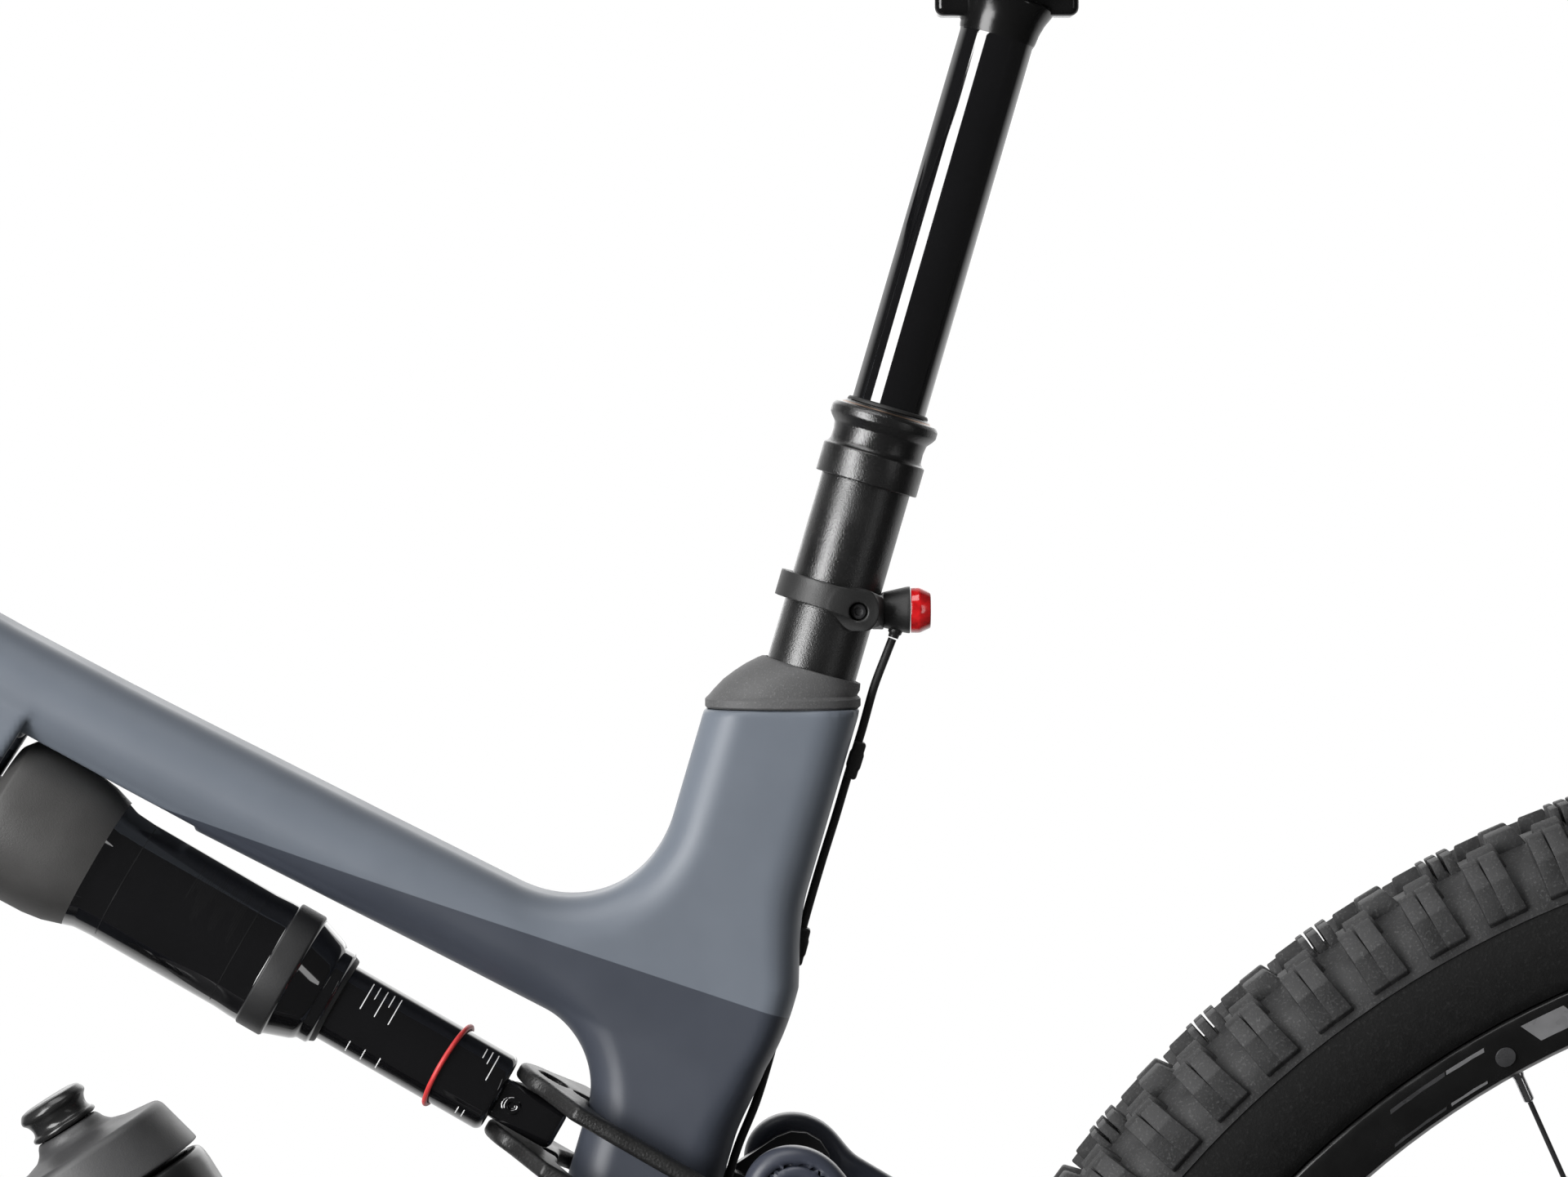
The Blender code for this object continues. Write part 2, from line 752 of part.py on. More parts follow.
def make_shock():
    can = [
        (0, 0.0480),
        (0.0149, 0.0480),
        (0.0149, 0.1516),
        (0.0165, 0.1516),
        (0.0187, 0.1479),
        (0.0234, 0.1357),
        (0.0234, 0.1258),
        (0.0224, 0.1256),
        (0.0224, 0.0640),
        (0.0270, 0.0430),
        (0.0275, 0.0200),
        (0.0230, 0.0150),
        (0, 0.0150),
    ]
    shock_can = turned("shock_can", SHOCK_EYE, SHOCK_AXIS, can, GLOSS_BLACK, 20)
    eye = (SHOCK_EYE.x, SHOCK_EYE.z)
    neck = box(
        "shock_neck", (0.018, 0.020, 0.022), frame_axes(shock(0.009), SHOCK_AXIS, (0, 0, 1)), tool=True
    )
    join(shock_can, neck)
    join(shock_can, across_y("shock_eye", eye, -0.0130, 0.0130, 0.0100, tool=True))
    join(shock_can, across_y("shock_bolt", eye, -0.0235, 0.0235, 0.0050, tool=True, sides=16))
    shaft = [(0, 0.2180), (0.0144, 0.2164), (0.0144, 0.1000), (0, 0.1000)]
    body = turned("shock_shaft", SHOCK_EYE, SHOCK_AXIS, shaft, GLOSS_BLACK, 20)
    join(
        body,
        box(
            "shock_end",
            (0.0150, 0.0200, 0.0260),
            frame_axes(shock(0.2290), SHOCK_AXIS, (0, 0, 1)),
            tool=True,
        ),
    )
    ring = [(0.0163, 0.1987), (0.0163, 0.1963)]
    turned("shock_o_ring", SHOCK_EYE, SHOCK_AXIS, solid_of(ring, 0.0147), RED, 20, True)


def make_yoke():
    """Two decks that clamp the shock's end, with arms past the seat tube to the yoke pivots."""
    outline = [
        (0.220, -0.008),
        (0.220, 0.008),
        (0.228, 0.0135),
        (0.243, 0.0325),
        (0.309, 0.0325),
        (0.309, 0.0245),
        (0.254, 0.0245),
        (0.246, 0.014),
        (0.246, -0.014),
        (0.254, -0.0245),
        (0.309, -0.0245),
        (0.309, -0.0325),
        (0.243, -0.0325),
        (0.228, -0.0135),
    ]
    decks = []
    for name, level in (("yoke", 0.0112), ("yoke_lower_deck", -0.0112)):
        up = Vector((-SHOCK_AXIS.z, 0, SHOCK_AXIS.x))
        matrix = frame_axes(SHOCK_EYE + up * level, up, SHOCK_AXIS)
        decks.append(plate(name, outline, matrix, 0.0058, BLACK_ALLOY, tool=name != "yoke"))
    yoke = join(decks[0], decks[1])
    for sign in (-1, 1):
        name = "yoke_boss_left" if sign < 0 else "yoke_boss_right"
        low, high = sorted((sign * 0.0245, sign * 0.0325))
        join(yoke, across_y(name, YOKE_PIVOT, low, high, 0.0145, tool=True))
        cut(yoke, across_y(name + "_bore", YOKE_PIVOT, low - 0.01, high + 0.01, 0.0082, tool=True))


def make_rocker():
    """Both plates on one shaft through the frame, with stub pins for the yoke and the seatstays."""
    rocker = across_y("rocker", ROCKER_PIVOT, -0.0405, 0.0405, 0.0080)
    outline = hull_outline([(ROCKER_PIVOT, 0.015), (STAY_PIVOT, 0.0125), (YOKE_PIVOT, 0.0125)], 7)
    for sign in (-1, 1):
        name = "left" if sign < 0 else "right"
        low, high = sorted((sign * 0.0330, sign * 0.0400))
        join(rocker, side_plate("rocker_plate_" + name, outline, low, high, tool=True))
        low, high = sorted((sign * 0.0255, sign * 0.0350))
        join(rocker, across_y("yoke_pin_" + name, YOKE_PIVOT, low, high, 0.0052, tool=True, sides=16))
        low, high = sorted((sign * 0.0370, sign * 0.0500))
        join(rocker, across_y("stay_pin_" + name, STAY_PIVOT, low, high, 0.0056, tool=True, sides=16))


def arm(name, route, half_heights, half_widths):
    """A tapering arm through 3-D points, with sections square to its side view."""
    rings = []
    for i, point in enumerate(route):
        before = Vector(route[max(i - 1, 0)])
        after = Vector(route[min(i + 1, len(route) - 1)])
        along = after - before
        across = Vector((-along.z, 0, along.x)).normalized()
        rings.append(oval(point, across, half_heights[i], half_widths[i], 10, 3.0))
    return loft(name, rings, tool=True)


def make_chainstays():
    stays = across_y("chainstays", MAIN_PIVOT, -0.0440, 0.0440, 0.0080, FRAME_PAINT)
    bridge = [(0.222, -0.040, 0.4190), (0.2235, 0, 0.4195), (0.222, 0.040, 0.4190)]
    for sign in (-1, 1):
        name = "left" if sign < 0 else "right"
        route = [
            (0.200, sign * 0.0377, 0.422),
            (0.250, sign * 0.0415, 0.412),
            (0.330, sign * 0.0470, 0.396),
            (0.450, sign * 0.0600, 0.370),
            (0.530, sign * 0.0680, 0.352),
            (0.573, sign * 0.0680, 0.343),
        ]
        join(
            stays,
            arm(
                "chainstay_" + name,
                route,
                [0.014, 0.013, 0.012, 0.011, 0.010, 0.010],
                [0.0065, 0.0055, 0.0060, 0.0060, 0.0050, 0.0045],
            ),
        )
        low, high = sorted((sign * 0.0312, sign * 0.0442))
        join(stays, across_y("main_eye_" + name, MAIN_PIVOT, low, high, 0.0150, tool=True))
        low, high = sorted((sign * 0.0625, sign * 0.0730))
        join(stays, across_y("horst_eye_" + name, HORST_PIVOT, low, high, 0.0130, tool=True))
        cut(
            stays, across_y("horst_bore_" + name, HORST_PIVOT, low - 0.01, high + 0.01, 0.0066, tool=True)
        )
    join(stays, tube("chainstay_bridge", bridge, 0.0060, FRAME_PAINT, tool=True, resolution=3))


def make_seatstays():
    stays = across_y("seatstays", REAR_AXLE, -0.0825, 0.0825, 0.0060, FRAME_PAINT, sides=16)
    direction = Vector(REAR_AXLE) - Vector(STAY_PIVOT)
    direction.normalize()
    bridge = Vector(STAY_PIVOT) + direction * 0.045
    dropout = hull_outline(
        [(HORST_PIVOT, 0.0125), (REAR_AXLE, 0.0140), ((0.572, 0.398), 0.0110), ((0.536, 0.392), 0.0110)],
        5,
    )
    for sign in (-1, 1):
        name = "left" if sign < 0 else "right"
        route = [
            (STAY_PIVOT[0] - 0.004, sign * 0.0462, STAY_PIVOT[1] + 0.0022),
            (0.262, sign * 0.0462, 0.5752),
            (0.350, sign * 0.0480, 0.5250),
            (0.460, sign * 0.0570, 0.4625),
            (0.545, sign * 0.0745, 0.4142),
            (0.580, sign * 0.0785, 0.3950),
        ]
        join(
            stays,
            arm(
                "seatstay_" + name,
                route,
                [0.013, 0.0120, 0.0100, 0.0090, 0.0085, 0.0085],
                [0.0048, 0.0050, 0.0055, 0.0055, 0.0050, 0.0040],
            ),
        )
        low, high = sorted((sign * 0.0408, sign * 0.0508))
        join(stays, across_y("stay_eye_" + name, STAY_PIVOT, low, high, 0.0170, tool=True))
        low, high = sorted((sign * 0.0745, sign * 0.0825))
        join(stays, side_plate("dropout_" + name, dropout, low, high, tool=True))
        low, high = sorted((sign * 0.0620, sign * 0.0780))
        join(stays, across_y("horst_pin_" + name, HORST_PIVOT, low, high, 0.0060, tool=True, sides=16))
        low, high = sorted((sign * 0.0300, sign * 0.0600))
        cut(stays, across_y("stay_bore_" + name, STAY_PIVOT, low, high, 0.0070, tool=True))
    join(stays, across_y("seatstay_bridge", bridge, -0.0460, 0.0460, 0.0075, tool=True))
    hanger = [(0.606, 0.372), (0.604, 0.340), (0.638, 0.338), (0.626, 0.372)]
    join(stays, side_plate("hanger", hanger, 0.0750, 0.0820, tool=True))


# Wheels, brakes and drivetrain


WHEEL_STEPS = 32
TREAD = [
    (WHEEL_RADIUS, 0.0070),
    (0.3710, 0.0240),
    (0.3570, 0.0330),
    (0.3310, 0.0290),
    (0.3173, 0.0182),
    (0.3173, 0.0134),
    (0.3075, 0.0132),
]
LINING = [(0.3075, 0.0100), (0.3190, 0.0108), (0.3500, 0.0250)]
RIM_PROFILE = [
    (0.3165, 0.0175),
    (0.2980, 0.0110),
    (0.2965, 0.0070),
]
RIM_CHANNEL = [(0.3060, 0.0070), (0.3065, 0.0138), (0.3165, 0.0140)]
SPOKES = 28


def make_wheel(prefix, axle, hub_profile, flanges, rotor_radius, rotor_y):
    origin = side(axle)
    section = TREAD + LINING
    tyre = [(r, y) for r, y in reversed(section)] + [(r, -y) for r, y in section]
    turned(prefix + "_tyre", origin, (0, 1, 0), tyre, RUBBER, WHEEL_STEPS, True)
    rim = RIM_CHANNEL + RIM_PROFILE
    rim = [(r, -y) for r, y in rim] + [(r, y) for r, y in reversed(rim)]
    turned(prefix + "_rim", origin, (0, 1, 0), rim, BLACK_ALLOY, WHEEL_STEPS, True)
    hub = turned(prefix + "_hub", origin, (0, 1, 0), hub_profile, BLACK_ALLOY, 14, True)
    bm = bmesh.new()
    for i in range(SPOKES):
        flange_y = flanges[i % 2]
        lean = 1 if i % 4 < 2 else -1
        at_rim = math.tau * (i + 0.5) / SPOKES
        at_hub = at_rim + lean * math.radians(62)
        inset = 0.0012 * lean
        inner = Vector((0.0245 * math.cos(at_hub), flange_y + inset, 0.0245 * math.sin(at_hub)))
        outer = Vector(
            (0.2940 * math.cos(at_rim), 0.0022 * (1 if i % 2 else -1), 0.2940 * math.sin(at_rim))
        )
        axis = outer - inner
        matrix = frame_axes(origin + (inner + outer) / 2, axis, (0, 1, 0))
        bmesh.ops.create_cone(
            bm, cap_ends=True, segments=4, radius1=0.0011, radius2=0.0011, depth=axis.length, matrix=matrix
        )
    spokes = from_bmesh(prefix + "_spokes", bm, BLACK_ALLOY, tool=True)
    join(hub, spokes)
    hub.modifiers[-1].use_self = True
    rotor = turned(
        prefix + "_rotor",
        origin,
        (0, 1, 0),
        solid_of(
            [(rotor_radius, rotor_y + 0.0009), (rotor_radius, rotor_y - 0.0009)], rotor_radius - 0.017
        ),
        STEEL,
        24,
        True,
    )
    carrier = turned(
        prefix + "_rotor_carrier",
        origin,
        (0, 1, 0),
        solid_of([(0.034, rotor_y + 0.0009), (0.034, rotor_y - 0.0009)], 0.0228),
        tool=True,
        steps=20,
        closed=True,
    )
    join(rotor, carrier)
    for i in range(5):
        angle = math.tau * i / 5
        start = origin + Vector((0.030 * math.cos(angle), rotor_y, 0.030 * math.sin(angle)))
        reach = rotor_radius - 0.012
        end = origin + Vector((reach * math.cos(angle + 0.5), rotor_y, reach * math.sin(angle + 0.5)))
        middle = (start + end) / 2
        matrix = frame_axes(middle, end - start, (0, 1, 0))
        join(
            rotor,
            box(f"{prefix}_rotor_arm_{i}", (0.0016, 0.0060, (end - start).length), matrix, tool=True),
        )


def make_wheels():
    front_hub = solid_of(
        [
            (0.0105, 0.0545),
            (0.0105, 0.0400),
            (0.0280, 0.0330),
            (0.0280, 0.0290),
            (0.0150, 0.0230),
            (0.0150, -0.0120),
            (0.0280, -0.0180),
            (0.0280, -0.0220),
            (0.0170, -0.0280),
            (0.0220, -0.0370),
            (0.0220, -0.0450),
            (0.0110, -0.0460),
            (0.0105, -0.0545),
        ],
        0.0066,
    )
    rear_hub = solid_of(
        [
            (0.0105, 0.0740),
            (0.0105, 0.0710),
            (0.0150, 0.0705),
            (0.0150, 0.0290),
            (0.0280, 0.0240),
            (0.0280, 0.0200),
            (0.0170, 0.0140),
            (0.0170, -0.0250),
            (0.0280, -0.0300),
            (0.0280, -0.0340),
            (0.0190, -0.0400),
            (0.0220, -0.0560),
            (0.0220, -0.0640),
            (0.0120, -0.0650),
            (0.0110, -0.0740),
        ],
        0.0066,
    )
    make_wheel("front", FRONT_AXLE, front_hub, (-0.0200, 0.0310), 0.1000, -0.0410)
    make_wheel("rear", REAR_AXLE, rear_hub, (-0.0320, 0.0220), 0.0900, -0.0585)


CASSETTE_STEPS = [
    (0.1030, 0.0335),
    (0.0850, 0.0380),
    (0.0670, 0.0435),
    (0.0520, 0.0490),
    (0.0375, 0.0562),
    (0.0300, 0.0640),
    (0.0210, 0.0695),
]


def make_cassette():
    profile = []
    low = 0.0295
    for radius, high in reversed(CASSETTE_STEPS):
        profile.append((radius, high))
        below = [step[1] for step in CASSETTE_STEPS if step[1] < high]
        profile.append((radius, max(below) if below else low))
    turned("cassette", side(REAR_AXLE), (0, 1, 0), solid_of(profile, 0.0156), STEEL, 24, True)


def directed_tangent(first, first_radius, second, second_radius):
    """Ends of the line that leaves one circle and meets the next; a negative radius runs clockwise."""
    ax, az = first
    bx, bz = second
    distance = math.dist(first, second)
    along = math.atan2(bz - az, bx - ax)
    turn = math.acos((first_radius - second_radius) / distance)
    angle = along - turn
    start = (ax + first_radius * math.cos(angle), az + first_radius * math.sin(angle))
    end = (bx + second_radius * math.cos(angle), bz + second_radius * math.sin(angle))
    return start, end, angle


def chain_path(inset=0.0):
    """The chain's loop round the chainring, cog and both pulleys, counter-clockwise, as (x, z) points."""
    wheels = [
        (BOTTOM_BRACKET, CHAINRING_RADIUS - inset, 14),
        (TENSION_PULLEY, PULLEY_RADIUS - inset, 8),
        (GUIDE_PULLEY, -PULLEY_RADIUS - inset, 6),
        (REAR_AXLE, COG_RADIUS - inset, 10),
    ]
    lines = []
    for i, (centre, radius, _) in enumerate(wheels):
        after_centre, after_radius, _ = wheels[(i + 1) % len(wheels)]
        lines.append(directed_tangent(centre, radius, after_centre, after_radius))
    points = []
    for i, (centre, radius, count) in enumerate(wheels):
        arrive = lines[i - 1][2]
        leave = lines[i][2]
        if radius > 0:
            while leave < arrive:
                leave += math.tau
        else:
            while leave > arrive:
                leave -= math.tau
        points += arc(centre, radius, math.degrees(arrive), math.degrees(leave), count)
    return points


def make_chain():
    chain = side_plate("chain", chain_path(-0.0038), CHAIN_Y - 0.0026, CHAIN_Y + 0.0026, STEEL)
    cut(chain, side_plate("chain_inside", chain_path(0.0038), CHAIN_Y - 0.01, CHAIN_Y + 0.01, tool=True))


def make_cranks():
    left = across_y("crank_left", BOTTOM_BRACKET, -0.0860, 0.0860, 0.0120, BLACK_ALLOY)
    right_profile = solid_of([(0.0297, 0.0560), (0.0297, 0.0500)], 0.0126)
    right = turned("crank_right", side(BOTTOM_BRACKET), (0, 1, 0), right_profile, BLACK_ALLOY, 20, True)
    sleeve = solid_of([(0.0180, 0.0860), (0.0180, 0.0545)], 0.0126)
    join(
        right,
        turned("crank_sleeve", side(BOTTOM_BRACKET), (0, 1, 0), sleeve, steps=20, closed=True, tool=True),
    )
    for crank, sign, direction in ((left, -1, -1), (right, 1, 1)):
        name = "left" if sign < 0 else "right"
        low, high = sorted((sign * 0.0730, sign * 0.0860))
        pedal_x = BOTTOM_BRACKET[0] + direction * CRANK_LENGTH
        circles = [(BOTTOM_BRACKET, 0.0190), ((pedal_x, BOTTOM_BRACKET[1]), 0.0140)]
        shape = side_plate("crank_arm_" + name, hull_outline(circles, 9), low, high, tool=True)
        if sign > 0:
            cut(shape, across_y("crank_seat", BOTTOM_BRACKET, 0.05, 0.1, 0.0126, tool=True, sides=20))
        join(crank, shape)
        make_pedal(name, (pedal_x, BOTTOM_BRACKET[1]), sign)
    ring = solid_of([(0.0645, CHAIN_Y + 0.0020), (0.0645, CHAIN_Y - 0.0020)], 0.0300)
    turned("chainring", side(BOTTOM_BRACKET), (0, 1, 0), ring, BLACK_ALLOY, 36, True)


def make_pedal(name, centre, sign):
    pedal = box(
        "pedal_" + name,
        (0.0980, 0.0960, 0.0150),
        Matrix.Translation(side(centre, sign * 0.1440)),
        PLASTIC,
        bevel=0.004,
    )
    low, high = sorted((sign * 0.0863, sign * 0.1000))
    join(pedal, across_y("pedal_spindle_" + name, centre, low, high, 0.0070, tool=True, sides=16))


def make_derailleur():
    body = rounded(
        side_plate(
            "derailleur_body",
            [
                (0.606, 0.3340),
                (0.637, 0.3340),
                (0.640, 0.300),
                (0.634, 0.272),
                (0.612, 0.270),
                (0.606, 0.295),
            ],
            0.0600,
            0.0820,
        ),
        0.003,
    )
    cut(body, across_y("cage_bore", GUIDE_PULLEY, 0.0500, 0.0720, 0.0066, tool=True, sides=16))
    outline = hull_outline([(TENSION_PULLEY, 0.0130), (GUIDE_PULLEY, 0.0130)], 8)
    cage = side_plate("derailleur_cage", outline, CHAIN_Y + 0.0042, CHAIN_Y + 0.0060)
    join(cage, side_plate("cage_inner", outline, CHAIN_Y - 0.0060, CHAIN_Y - 0.0042, tool=True))
    join(
        cage, across_y("cage_pivot", GUIDE_PULLEY, CHAIN_Y + 0.0050, 0.0700, 0.0060, tool=True, sides=16)
    )
    for name, centre in (("guide", GUIDE_PULLEY), ("tension", TENSION_PULLEY)):
        join(
            cage,
            across_y(name + "_pulley", centre, CHAIN_Y - 0.0012, CHAIN_Y + 0.0012, 0.0200, tool=True),
        )
        join(
            cage,
            across_y(
                name + "_bolt", centre, CHAIN_Y - 0.0055, CHAIN_Y + 0.0055, 0.0050, tool=True, sides=12
            ),
        )


def caliper(name, centre, slot_centre, slot_y, low_y, high_y, size, paint=BLACK_ALLOY):
    """A block astride the rotor, with its slot open toward the axle."""
    toward = (side(slot_centre) - side(centre)).normalized()
    matrix = frame_axes(side(centre, (low_y + high_y) / 2), toward, (0, 1, 0))
    body = box(name, (high_y - low_y, size[0], size[1]), matrix, paint, bevel=0.003)
    slot = frame_axes(side(centre, slot_y) + toward * 0.006, toward, (0, 1, 0))
    cut(body, box(name + "_slot", (0.0046, size[0] + 0.02, size[1]), slot, tool=True))
    return body


def make_calipers():
    caliper("rear_caliper", (0.5310, 0.3860), REAR_AXLE, -0.0585, -0.0740, -0.0460, (0.034, 0.032))
    centre = steer(-0.4806, -0.0183)
    caliper("front_caliper", (centre.x, centre.z), FRONT_AXLE, -0.0410, -0.0700, -0.0300, (0.040, 0.030))


# Fork, stem, handlebar and controls


def make_fork():
    outline = [
        (-0.088, -0.046),
        (-0.088, -0.016),
        (-0.064, 0.0010),
        (0.064, 0.0010),
        (0.088, -0.016),
        (0.088, -0.046),
        (0.041, -0.046),
        (0.036, -0.0170),
        (-0.036, -0.0170),
        (-0.041, -0.046),
    ]
    matrix = frame_axes(steer(0, 0.033), STEER_FORWARD * -1, (0, 1, 0))
    fork = plate("fork_upper", outline, matrix, 0.0400, BLACK_ALLOY)
    steerer = [
        (0, 0.1730), (0.0143, 0.1730), (0.0143, 0.0600), (0.0200, 0.0250), (0.0200, -0.0100), (0, -0.0100)
    ]
    join(fork, turned("steerer", steer(0), STEER_UP, steerer, steps=20, tool=True))
    leg = [
        (0, -0.2050),
        (0.0235, -0.2050),
        (0.0235, -0.2200),
        (0.0215, -0.2300),
        (0.0205, -0.4900),
        (0.0165, -0.5650),
        (0.0120, -0.5780),
        (0, -0.5780),
    ]
    left = steer(0, LEG_OFFSET, -LEG_SPREAD)
    right = steer(0, LEG_OFFSET, LEG_SPREAD)
    lowers = turned("fork_lowers", left, STEER_UP, leg)
    join(lowers, turned("leg_right", right, STEER_UP, leg, tool=True))
    cut(lowers, across_y("hub_space", FRONT_AXLE, -0.0548, 0.0548, 0.0300, tool=True))
    join(lowers, across_y("front_axle", FRONT_AXLE, -0.0750, 0.0750, 0.0060, tool=True, sides=16))
    arch = [
        steer(-0.2300, 0.0540, -0.0600),
        steer(-0.2050, 0.0660, -0.0560),
        steer(-0.1800, 0.0680, -0.0480),
        steer(-0.1580, 0.0680, -0.0330),
        steer(-0.1500, 0.0680, 0.0),
        steer(-0.1580, 0.0680, 0.0330),
        steer(-0.1800, 0.0680, 0.0480),
        steer(-0.2050, 0.0660, 0.0560),
        steer(-0.2300, 0.0540, 0.0600),
    ]
    join(lowers, tube("fork_arch", arch, 0.0080, tool=True, resolution=3))
    mount = [
        (-0.440, 0.030),
        (-0.440, 0.010),
        (-0.468, -0.022),
        (-0.505, -0.020),
        (-0.500, 0.012),
        (-0.500, 0.030),
    ]
    mount = [steer(height, forward) for height, forward in mount]
    join(lowers, side_plate("caliper_mount", [(p.x, p.z) for p in mount], -0.0780, -0.0703, tool=True))
    for name, foot in (("left", left), ("right", right)):
        low = foot - STEER_UP * 0.335
        join(fork, rod("stanchion_" + name, low, foot - STEER_UP * 0.004, 0.0175, tool=True, sides=20))
        bore_end = foot - STEER_UP * 0.492
        cut(
            lowers,
            rod("leg_bore_" + name, bore_end, foot - STEER_UP * 0.190, 0.0180, tool=True, sides=20),
        )


def make_stem():
    cover = solid_of(
        [
            (0.0240, 0.1325),
            (0.0258, 0.1290),
            (0.0258, HEAD_TUBE[1] + GAP),
            (0.0205, HEAD_TUBE[1] + GAP),
            (0.0205, 0.1000),
        ],
        0.0148,
    )
    turned("headset_cover", steer(0), STEER_UP, cover, BLACK_ALLOY, 20, True)
    stem = turned(
        "stem",
        steer(0),
        STEER_UP,
        [(0, 0.1790), (0.0205, 0.1790), (0.0205, 0.1330), (0, 0.1330)],
        BLACK_ALLOY,
        20,
    )
    matrix = frame_axes(steer(BAR_HEIGHT, 0.026), STEER_FORWARD, STEER_UP)
    join(stem, box("stem_neck", (0.032, 0.038, 0.036), matrix, tool=True, bevel=0.004))
    clamp = steer(BAR_HEIGHT, BAR_REACH)
    y = Vector((0, 1, 0))
    join(stem, rod("bar_clamp", clamp - y * 0.028, clamp + y * 0.028, 0.0240, tool=True, sides=20))
    cut(stem, rod("stem_bore", steer(0.12), steer(0.1740), 0.0148, tool=True, sides=20))
    cut(stem, rod("bar_bore", clamp - y * 0.05, clamp + y * 0.05, 0.0182, tool=True, sides=20))


BAR_HALF = 0.380
BAR_START = 0.110


def bar_point(y):
    """A point on the handlebar's centre line."""
    sign = math.copysign(1, y)
    reach = abs(y)
    centre = steer(BAR_HEIGHT, BAR_REACH)
    rise = min(max((reach - 0.040) / (BAR_START - 0.040), 0), 1)
    outer = max(reach - BAR_START, 0)
    back = outer * math.tan(math.radians(8)) + rise * 0.004
    up = rise * 0.018 + outer * math.tan(math.radians(5))
    return centre + Vector((back, sign * reach, up))


def make_handlebar():
    stations = [0, 0.036, 0.048, 0.060, 0.085, 0.110, 0.125, BAR_HALF]
    radii = [0.0175, 0.0175, 0.0165, 0.0150, 0.0125, 0.0112, 0.0111, 0.0111]
    ys = [-y for y in reversed(stations[1:])] + stations
    sizes = list(reversed(radii[1:])) + radii
    tube("handlebar", [bar_point(y) for y in ys], 0.0175, BLACK_ALLOY, sizes, resolution=4)


def bar_frame(sign):
    """The straight part of the bar on one side: its start, and its outward and upward directions."""
    start = bar_point(sign * 0.125)
    along = (bar_point(sign * BAR_HALF) - start).normalized()
    forward = Vector((-1, 0, 0.15))
    forward = (forward - along * along.dot(forward)).normalized()
    return start, along, forward


def make_controls():
    for sign in (-1, 1):
        name = "left" if sign < 0 else "right"
        start, along, forward = bar_frame(sign)
        down = Vector((0, 0, -1))
        length = (bar_point(sign * BAR_HALF) - start).length
        grip = [
            (0, length + 0.004),
            (0.0145, length + 0.004),
            (0.0165, length + 0.001),
            (0.0165, length - 0.131),
            (0.0185, length - 0.133),
            (0.0185, length - 0.137),
            (0.0118, length - 0.137),
            (0.0118, length + GAP),
            (0, length + GAP),
        ]
        turned("grip_" + name, start, along, grip, RUBBER, 20)
        ring = solid_of([(0.0165, 0.0820), (0.0165, 0.0680)], 0.0118)
        body = turned("brake_body_" + name, start, along, ring, BLACK_ALLOY, 20, True)
        pivot = start + along * 0.072 + forward * 0.036 + down * 0.006
        cylinder_end = start + along * 0.022 + forward * 0.024 + down * 0.004
        join(
            body,
            rod(
                "reservoir_" + name,
                cylinder_end,
                start + along * 0.079 + forward * 0.026 + down * 0.005,
                0.0105,
                tool=True,
                sides=16,
            ),
        )
        pod_centre = start + along * 0.060 + forward * 0.004 + down * 0.0240
        join(
            body,
            box(
                "pod_" + name,
                (0.0280, 0.0260, 0.0150),
                frame_axes(pod_centre, down, along),
                tool=True,
                bevel=0.003,
            ),
        )
        join(
            body,
            box(
                "pod_link_" + name,
                (0.0120, 0.0080, 0.0140),
                frame_axes(start + along * 0.0745 + down * 0.0195, down, along),
                tool=True,
            ),
        )
        blade = [
            pivot + along * 0.004,
            pivot + along * 0.030 + forward * 0.014 + down * 0.001,
            pivot + along * 0.060 + forward * 0.013 + down * 0.002,
            pivot + along * 0.090 + forward * 0.009 + down * 0.002,
            pivot + along * 0.100 + forward * 0.013 + down * 0.002,
        ]
        lever = tube("brake_lever_" + name, blade, 0.0055, BLACK_ALLOY)
        up = along.cross(forward).normalized()
        join(
            lever,
            rod(
                "lever_eye_" + name, pivot - up * 0.0045, pivot + up * 0.0045, 0.0070, tool=True, sides=16
            ),
        )
        cut(
            body,
            rod(
                "lever_gap_" + name, pivot - up * 0.0200, pivot + up * 0.0200, 0.0095, tool=True, sides=16
            ),
        )
        paddle_name = "dropper_paddle" if sign < 0 else "shift_paddle"
        hinge = pod_centre + down * 0.0115 + along * 0.006
        tip = hinge + along * -0.018 - forward * 0.034
        paddle = rod(paddle_name, hinge + down * 0.0028, hinge - down * 0.0028, 0.0080, PLASTIC, sides=16)
        matrix = frame_axes((hinge + tip) / 2, tip - hinge, down)
        join(
            paddle,
            box(
                paddle_name + "_blade",
                (0.0040, 0.0110, (tip - hinge).length),
                matrix,
                tool=True,
                bevel=0.001,
            ),
        )


# Bottle and cage


def bottle_point(along, out=0.0, y=0.0):
    """A point down the bottle's axis from the top of its nozzle; out is away from the down tube."""
    normal = Vector((-BOTTLE_AXIS.z, 0, BOTTLE_AXIS.x))
    return BOTTLE_TOP + BOTTLE_AXIS * along + normal * out + Vector((0, y, 0))


